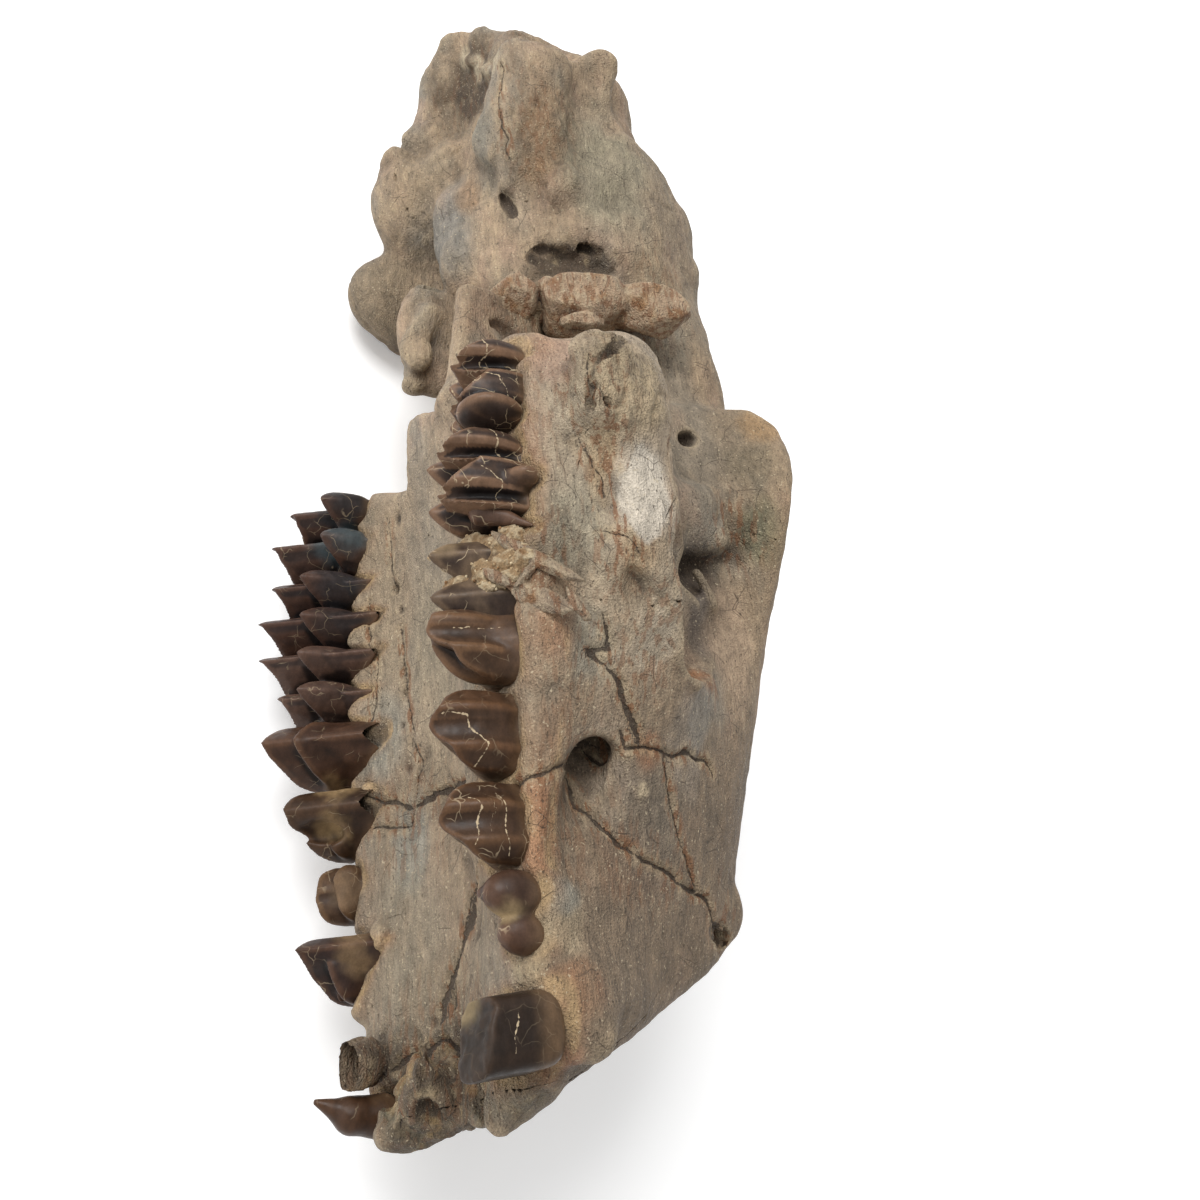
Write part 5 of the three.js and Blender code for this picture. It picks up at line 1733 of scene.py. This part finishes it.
class SKULL_OT_matrix(bpy.types.Operator):
    """Builds the sandstone, splinters and sand grains where the right first molar has broken away"""
    bl_idname = "skull.matrix"
    bl_label = "Matrix"

    def execute(self, context):
        look = context.scene.skull_look
        rock = build_rubble("matrix_at_first_molar", rubble, (33, -40, -11), (56, -12, 8), "matrix", look)
        build_rubble("root_splinters", splinters, (37, -40, -5), (57, -25, 8), "bone", look)
        build_rubble("enamel_chip", chip, (37, -26, -9), (45, -18, 0), "enamel", look)
        build_rubble("fragments_behind_cheek", fragments, (-36, -36, 8), (-12, -6, 48), "bone", look)
        build_grains(rock, look)
        return {"FINISHED"}


# the camera in the skull's own frame: where it stands, in mm, and which way is right and down
CAMERA_SPOT = (131.3, -153.9, -92.2)
CAMERA_ACROSS = (0.107, -0.601, 0.792)
CAMERA_DOWN = (0.881, 0.426, 0.204)
SENSOR = 36.0  # width of the camera's sensor, in mm
FLOOR_HALF = 4  # half the floor's width, in metres
LAMP_SIZE = 0.8  # width of each square lamp, in metres
LAMP_AIM = (0, 0, 0.04)  # what both lamps face


def place_camera(lens):
    """The camera that frames the skull."""
    spot = to_ground(np.array(CAMERA_SPOT))
    across = unit(TURN @ np.array(CAMERA_ACROSS))
    down = TURN @ np.array(CAMERA_DOWN)
    down = unit(down - across * (down @ across))
    axes = np.array([across, -down, np.cross(across, -down)]).T
    camera = new_object("camera", bpy.data.cameras.new("camera"))
    camera.data.lens = lens
    camera.data.sensor_width = SENSOR
    camera.data.clip_start = 0.01
    camera.matrix_world = Matrix([list(axes[k]) + [spot[k]] for k in range(3)] + [[0, 0, 0, 1]])
    bpy.context.scene.camera = camera


def lay_floor(colour, glow):
    """A floor of matt paper: white, with no gloss, and lit from behind as on a light table."""
    mesh = bpy.data.meshes.new("floor")
    f = FLOOR_HALF
    mesh.from_pydata([(-f, -f, 0), (f, -f, 0), (f, f, 0), (-f, f, 0)], [], [(0, 1, 2, 3)])
    material, _, shader, _ = new_material("matt_paper", 0.95, 1.5)
    shader.inputs["Base Color"].default_value = list(colour) + [1.0]
    shader.inputs["Emission Color"].default_value = (1, 1, 1, 1)
    shader.inputs["Emission Strength"].default_value = glow
    floor = new_object("floor", mesh)
    floor.data.materials.append(material)


def hang_lamp(name, place, power):
    """A square lamp turned towards the skull."""
    light = bpy.data.lights.new(name, "AREA")
    light.size = LAMP_SIZE
    light.energy = power
    lamp = new_object(name, light)
    lamp.location = place
    lamp.rotation_mode = "QUATERNION"
    lamp.rotation_quaternion = (Vector(LAMP_AIM) - Vector(place)).to_track_quat("-Z", "Y")


class SKULL_OT_stage(bpy.types.Operator):
    """Sets the pale floor, the soft light and the camera"""
    bl_idname = "skull.stage"
    bl_label = "Stage"

    def execute(self, context):
        stage = context.scene.skull_stage
        place_camera(stage.lens)
        lay_floor(stage.floor_colour, stage.glow)
        world = bpy.data.worlds.new("soft_room")
        world.use_nodes = True
        background = world.node_tree.nodes["Background"]
        background.inputs["Color"].default_value = (1, 1, 1, 1)
        background.inputs["Strength"].default_value = stage.sky
        context.scene.world = world
        context.scene.view_settings.view_transform = "Standard"
        hang_lamp("main_lamp", (-0.5, -0.55, 1.0), stage.key)
        hang_lamp("side_lamp", (0.2, -1.1, 0.35), stage.fill)
        return {"FINISHED"}


class SKULL_PT_panel(bpy.types.Panel):
    """Lists the skull's settings and the operators that build it"""
    bl_label = "Skull"
    bl_idname = "SKULL_PT_panel"
    bl_space_type = "VIEW_3D"
    bl_region_type = "UI"
    bl_category = "Skull"

    def draw(self, context):
        for group in (context.scene.skull_look, context.scene.skull_stage):
            for name in group.__annotations__:
                self.layout.prop(group, name)
        for operator in OPERATORS:
            self.layout.operator(operator.bl_idname)


OPERATORS = (SKULL_OT_braincase, SKULL_OT_face, SKULL_OT_teeth_right, SKULL_OT_teeth_left, SKULL_OT_matrix,
             SKULL_OT_stage)
CLASSES = (SkullLook, SkullStage) + OPERATORS + (SKULL_PT_panel,)


def register():
    for item in CLASSES:
        bpy.utils.register_class(item)
    bpy.types.Scene.skull_look = bpy.props.PointerProperty(type=SkullLook)
    bpy.types.Scene.skull_stage = bpy.props.PointerProperty(type=SkullStage)


def unregister():
    del bpy.types.Scene.skull_stage
    del bpy.types.Scene.skull_look
    for item in reversed(CLASSES):
        bpy.utils.unregister_class(item)


def main():
    """Builds every group of pieces and the stage."""
    register()
    bpy.ops.skull.braincase()
    bpy.ops.skull.face()
    bpy.ops.skull.teeth_right()
    bpy.ops.skull.teeth_left()
    bpy.ops.skull.matrix()
    bpy.ops.skull.stage()


if __name__ == "__main__":
    main()
